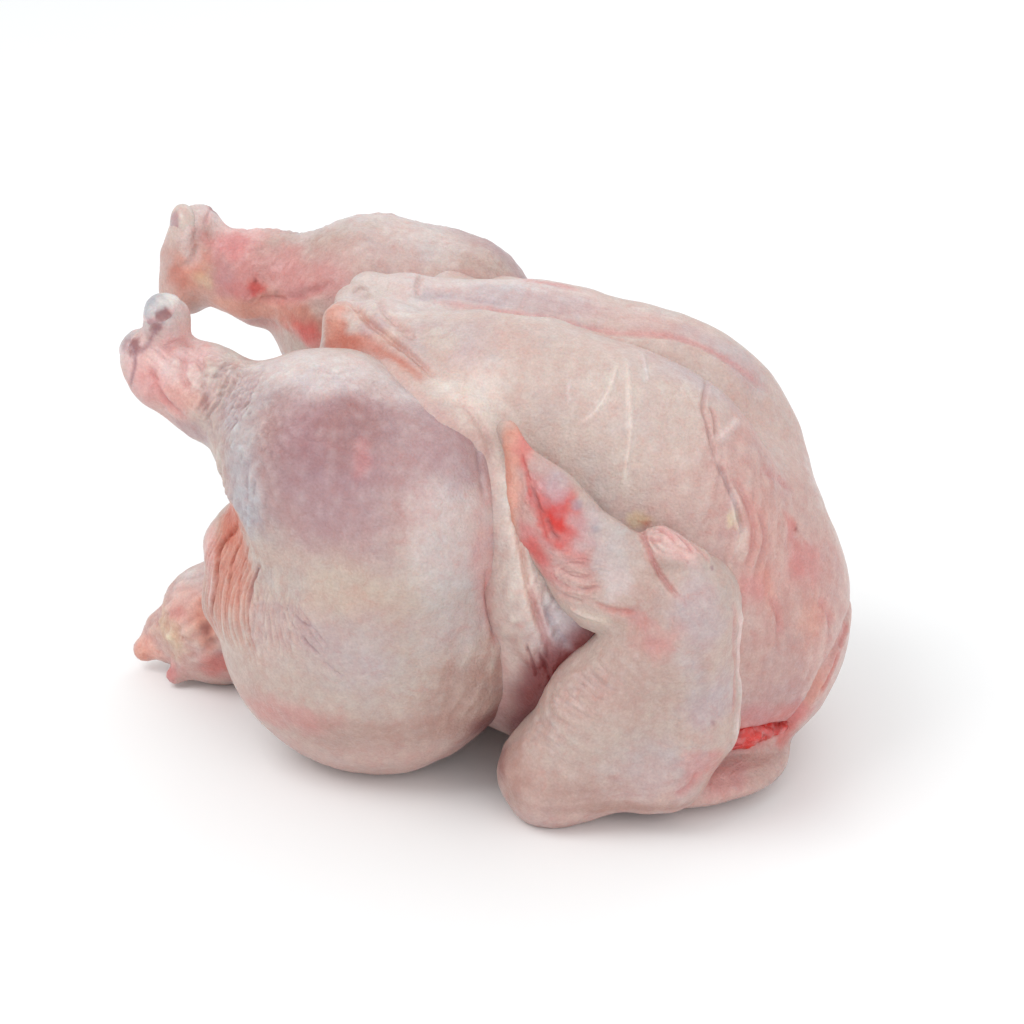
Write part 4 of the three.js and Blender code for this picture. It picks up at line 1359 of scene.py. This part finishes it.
# %% Work on the wings
LEFT_WING_WORK = dict(
    lumps=[(16.0, 0.5), (6.0, 0.25)],
    folds=[
        # ragged groove down the hand
        (((521, 452), (525, 463), (529, 474), (536, 487)), 0.6, 0.5, RED, 0.5),
        (((531, 484), (537, 495), (541, 505), (549, 516)), 0.7, 0.45, WINE, 0.45),
        (((547, 514), (551, 524), (554, 532), (562, 542)), 0.7, 0.45, WINE, 0.45),
        (((526, 470), (530, 486), (534, 500)), 0.6, 0.4, RED, 0.5),
        (((539, 520), (545, 530), (547, 540)), 0.6, 0.4, RED, 0.5),
        # crescents of gathered skin at its root
        (((556, 548), (566, 560), (580, 564), (592, 556)), 0.9, 0.5, ROSE, 0.25),
        (((552, 562), (566, 574), (584, 577), (600, 570)), 0.9, 0.5, ROSE, 0.25),
        (((550, 576), (568, 588), (588, 590), (604, 584)), 0.9, 0.5, ROSE, 0.25),
        (((554, 590), (572, 599), (590, 600)), 0.9, 0.45, ROSE, 0.2),
        (((590, 600), (606, 608), (622, 612), (640, 613)), 0.9, 0.6, RED, 0.3),
        (((566, 606), (586, 616), (606, 622)), 0.8, -0.4, PALE, 0.2),
        # the wrist
        (((638, 506), (642, 526), (648, 548), (657, 568), (670, 588), (688, 606)), 0.8, 0.9, ROSE, 0.5),
        (((646, 536), (655, 541), (664, 540)), 0.6, 0.6, ROSE, 0.4),
        (((656, 528), (668, 534), (678, 545)), 0.7, 0.7, ROSE, 0.4),
        (((672, 532), (686, 542), (694, 554)), 0.7, 0.6, ROSE, 0.4),
        (((688, 540), (702, 552), (710, 564)), 0.7, 0.5, ROSE, 0.35),
        (((733, 590), (741, 630), (742, 680), (736, 725), (727, 762)), 1.0, -0.9, PALE, 0.5),
        (((728, 592), (735, 632), (736, 680), (731, 722)), 1.0, 0.6, ROSE, 0.35),
        (((700, 770), (690, 785), (672, 797)), 1.2, 0.8, ROSE, 0.5),
        (((640, 650), (668, 640), (690, 620)), 1.8, 0.5, ROSE, 0.25),
    ],
    fans=[
        ((((520, 735), (536, 748), (556, 756)),
          ((598, 655), (612, 672), (632, 684))), 12, 0.9, 0.4, BLUSH, 0.2),
    ],
    wrinkles=[
        ((534, 500), (8, 8, 18), (0.5, 0.0, -1.0), 2.0, 0.9),
        ((575, 575), (12, 8, 12), (1.0, 0.0, 0.1), 1.8, 0.9),
        ((590, 540), (14, 8, 14), (0.7, 0.0, -0.8), 3.0, 0.4),
        ((672, 545), (12, 8, 9), (0.8, 0.0, -0.5), 2.0, 0.9),
        ((600, 730), (40, 16, 30), (0.8, 0.0, -0.25), 3.4, 0.5),
        ((690, 690), (20, 20, 40), (0.1, 0.0, 1.0), 3.6, 0.5),
        ((660, 790), (40, 16, 10), (1.0, 0.0, 0.1), 3.0, 0.7),
    ],
    dabs=[
        ((530, 500), BLUSH, (14, 8, 22), 0.85),
        ((560, 560), BLUSH, (16, 8, 14), 0.8),
        ((518, 440), SALMON, (5, 8, 9), 0.9),
        ((524, 450), ROSE, (4, 5, 7), 0.7),
        ((510, 490), PEACH, (4, 8, 16), 0.8),
        ((506, 470), SALMON, (2, 6, 14), 0.7),
        ((538, 494), ROSE, (4, 5, 8), 0.8),
        ((568, 536), ROSE, (8, 7, 9), 0.8),
        ((556, 508), ROSE, (6, 6, 8), 0.8),
        ((565, 516), SCARLET, (8.5, 9, 10), 1.0),
        ((532, 545), ROSE, (6, 6, 8), 0.8),
        ((536, 553), RED, (6, 7, 6), 0.7),
        ((546, 570), ROSE, (5, 6, 5), 0.6),
        ((545, 505), RED, (3, 5, 7), 0.6),
        ((556, 486), LILAC, (5, 6, 9), 0.6),
        ((590, 525), ASH, (9, 8, 10), 0.6),
        ((577, 505), SLATE, (2.2, 3, 2.2), 0.5),
        ((596, 530), SLATE, (1.6, 2, 1.6), 0.4),
        ((612, 560), ASH, (9, 8, 12), 0.6),
        ((616, 585), PALE, (7, 8, 7), 0.4),
        ((582, 613), MILK, (14, 8, 3), 0.15),
        ((596, 618), BUTTER, (10, 6, 2.5), 0.12),
        ((640, 620), ROSE, (9, 6, 4), 0.4),
        # faint painted shade on the middle of the lower wing
        ((630, 690), UMBER, (26, 16, 24), 0.22),
        ((676, 545), PINK, (10, 8, 7), 0.6),
        ((700, 620), LILAC, (10, 10, 24), 0.5),
        ((715, 700), LILAC, (10, 10, 16), 0.5),
        ((600, 740), SAND, (28, 14, 20), 0.4),
        ((650, 770), LILAC, (24, 12, 12), 0.35),
        ((706, 764), ROSE, (8, 8, 8), 0.45),
        ((655, 645), ROSE, (8, 8, 6), 0.3),
        # the next four rows are painted shade low on the wing, by the thigh and where it rests on the
        # table
        ((560, 790), UMBER, (24, 18, 10), 0.4),
        ((512, 775), UMBER, (8, 14, 14), 0.6),
        ((500, 760), WINE, (4, 12, 9), 0.5),
        ((640, 808), UMBER, (44, 14, 3), 0.6),
        ((712, 568), PLUM, (1.0, 1.0, 1.0), 0.7),
        ((713, 722), PLUM, (1.0, 1.0, 1.2), 0.6),
    ],
    streaks=[
        (((734, 600), (741, 640), (741, 690), (733, 730)), PINK, 1.6, 0.6),
        (((508, 430), (503, 470), (511, 512), (522, 556)), SALMON, 1.3, 0.7),
    ],
    pores=[
        ([((600, 720), (44, 34, 34), 1.0), ((690, 680), (24, 30, 40), 0.7)], 4.6, 1.5, 0.3, (1, 1, 1)),
    ],
)


def wing_tint(P):
    """Beige pink all over, pinker underneath, with painted shade low down where it meets the trunk or a
    leg.
    """
    touch = np.minimum(trunk(P), np.minimum(left_leg(P), right_leg(P)))
    return coated(
        P, SAND,
        (BLUSH, 0.5 * ease(40.0, 0.0, P[:, 2]) + 0.1),
        # painted shade: dark wine low down where the wing meets the trunk or a leg
        (WINE, 0.6 * ease(2.5, 0.0, touch) * ease(74.0, 58.0, P[:, 2])),
    )


# %% Wing meshes
RIGHT_WING_WORK = mirrored(LEFT_WING_WORK, left_wing, 0, 2)
WING_INNER, WING_OUTER = 26.1, 99.1  # the box of a wing, sideways from the middle of the bird
for label, field, work, side in (
    ("left_wing_skin", left_wing, LEFT_WING_WORK, -1),
    ("right_wing_skin", right_wing, RIGHT_WING_WORK, 1),
):
    low, high = sorted((side * WING_INNER, side * WING_OUTER))
    make_skin(label, field, (-10.3, low, -4.1), (112, high, 158), 1.1, wing_tint, work, 9)

# %% [markdown]
# ## What is under the skin
# Where the bird was opened, other things than skin show.  The body cavity is lined with a thin
# wet membrane over the ribs, fat hangs in soft pads at its mouth, the ankles end in blue-grey
# gristle, and a strip of red flesh lies in the fold of the neck.  Each is a small closed form
# made just as the skins are, and each reaches a little way into the skin that holds it.


# %% Cavity lining
RIB_PITCH = 14.0
RIB_SLANT = 0.35  # how far the ribs run back for each millimetre sideways
RIB_HEIGHT = 0.7
LINING_HALF = 2.0  # half of the lining's thickness


def ribs(P):
    """Wave along the cavity, 1 on a rib and -1 between two."""
    return np.sin(2 * math.pi * (P[..., 0] + RIB_SLANT * np.abs(P[..., 1])) / RIB_PITCH)


def lining(P):
    """Ribbed shell at the cavity's wall, half sunk in it, kept under the outer skin."""
    shell = np.abs(cavity(P) - RIB_HEIGHT * ribs(P)) - LINING_HALF
    return np.maximum(shell, np.maximum(join(torso(P), tail(P), 8) + 5.0, -112.0 - P[..., 0]))


def lining_tint(P):
    """Dark red between the ribs and paler on them and at the mouth."""
    return coated(
        P, BLOOD,
        (ROSE, 0.55 * ease(-0.1, 0.9, ribs(P))),
        (SALMON, 0.5 * ease(-70.0, -96.0, P[:, 0])),
    )


LINING_WORK = dict(lumps=[(12.0, 0.5), (4.0, 0.2)])
make_skin("cavity_lining", lining, (-116, -44, 20), (62, 44, 150), 1.6, lining_tint, LINING_WORK, 21,
          "flesh", FLESH)


# %% Gristle at the ankles
def gristle_tint(P):
    """Blue-grey, mottled, with dark purple spots, pink where the skin takes over."""
    return coated(
        P, ASH,
        (SLATE, 0.4 * ease(-0.2, 0.5, cloud(P, 9.0, 4))),
        (PLUM, 0.6 * ease(0.3, 0.6, noise(P, 6.5, 12))),
        (PINK, 0.7 * ease(1.1, 0.1, left_leg(P) + 0.5 * noise(P, 4.0, 15))),
    )


def shank_end_tint(P):
    """A mauve oval in a beige ring, like the skin that takes over on the shank."""
    far = np.sqrt(((P - vec(-139.5, 46.0, 156.5)) ** 2 / vec(16.0, 12.0, 40.0)).sum(-1))
    return coated(P, CREAM, (MAUVE, 0.9 * ease(1.15, 0.8, far)))


GRISTLE_WORK = dict(
    lumps=[(7.0, 0.4), (3.0, 0.15)],
    dabs=[
        ((170, 297), MILK, (5, 6, 3), 0.5),
        ((164, 316), WINE, (3, 4, 2.5), 0.8),
        ((152, 325), PLUM, (3, 4, 3), 0.7),
        ((128, 342), PLUM, (3, 4, 4), 0.6),
    ],
)
make_skin("left_ankle_gristle", left_gristle, (-128, -70, 132), (-88, -38, 174), 0.8,
          gristle_tint, GRISTLE_WORK, 31, "cartilage", GRISTLE)
make_skin("right_ankle_gristle", right_gristle, (-152, 34, 134), (-122, 66, 170), 0.8,
          shank_end_tint, dict(lumps=[(7.0, 0.3), (3.0, 0.15)]), 33, "cartilage", GRISTLE)


# %% Fat and flesh
def fat_pads(P):
    """Two lobed pads of fat inside the lower edge of the cavity's mouth."""
    d = None
    for s in (-1, 1):
        pad = join(egg(P, (-91, 15 * s, 61), (10, 8, 8)), egg(P, (-85, 21 * s, 71), (8, 8, 11)), 6)
        pad = join(pad, egg(P, (-81, 11 * s, 57), (10, 8, 7)), 6)
        d = pad if d is None else np.minimum(d, pad)
    return d


def fat_tint(P):
    """Cream fat with pinker patches."""
    return coated(P, 0.5 * (BUTTER + CREAM), (SALMON, 0.5 * ease(0.1, 0.6, cloud(P, 7.0, 8))))


def neck_flesh(P):
    """Strip of red meat along the bottom of the neck's fold."""
    inner = [(x - 2.0, y + 2.0, z) for x, y, z in NECK_FOLD[:5]]
    return chain(P, inner, (3.0, 3.6, 4.0, 3.6, 2.4), 2)


def neck_flesh_tint(P):
    """Wet red in the middle, duller towards the wing, with darker and paler shreds."""
    return coated(
        P, SCARLET,
        (PLUM, 0.75 * ease(93.0, 84.0, P[:, 0])),
        (BLOOD, 0.4 * ease(0.1, 0.6, cloud(P, 6.0, 5))),
        (ROSE, 0.4 * ease(0.0, 0.4, cloud(P, 4.0, 9))),
    )


make_skin("cavity_fat", fat_pads, (-112, -40, 40), (-66, 40, 90), 1.1, fat_tint,
          dict(lumps=[(8.0, 1.4), (3.0, 0.35)]), 41, "fat", FAT)
make_skin("neck_flesh", neck_flesh, (64, -62, 10), (124, -8, 62), 0.7, neck_flesh_tint,
          dict(lumps=[(6.0, 1.3), (2.5, 0.4)]), 43, "flesh", FLESH)
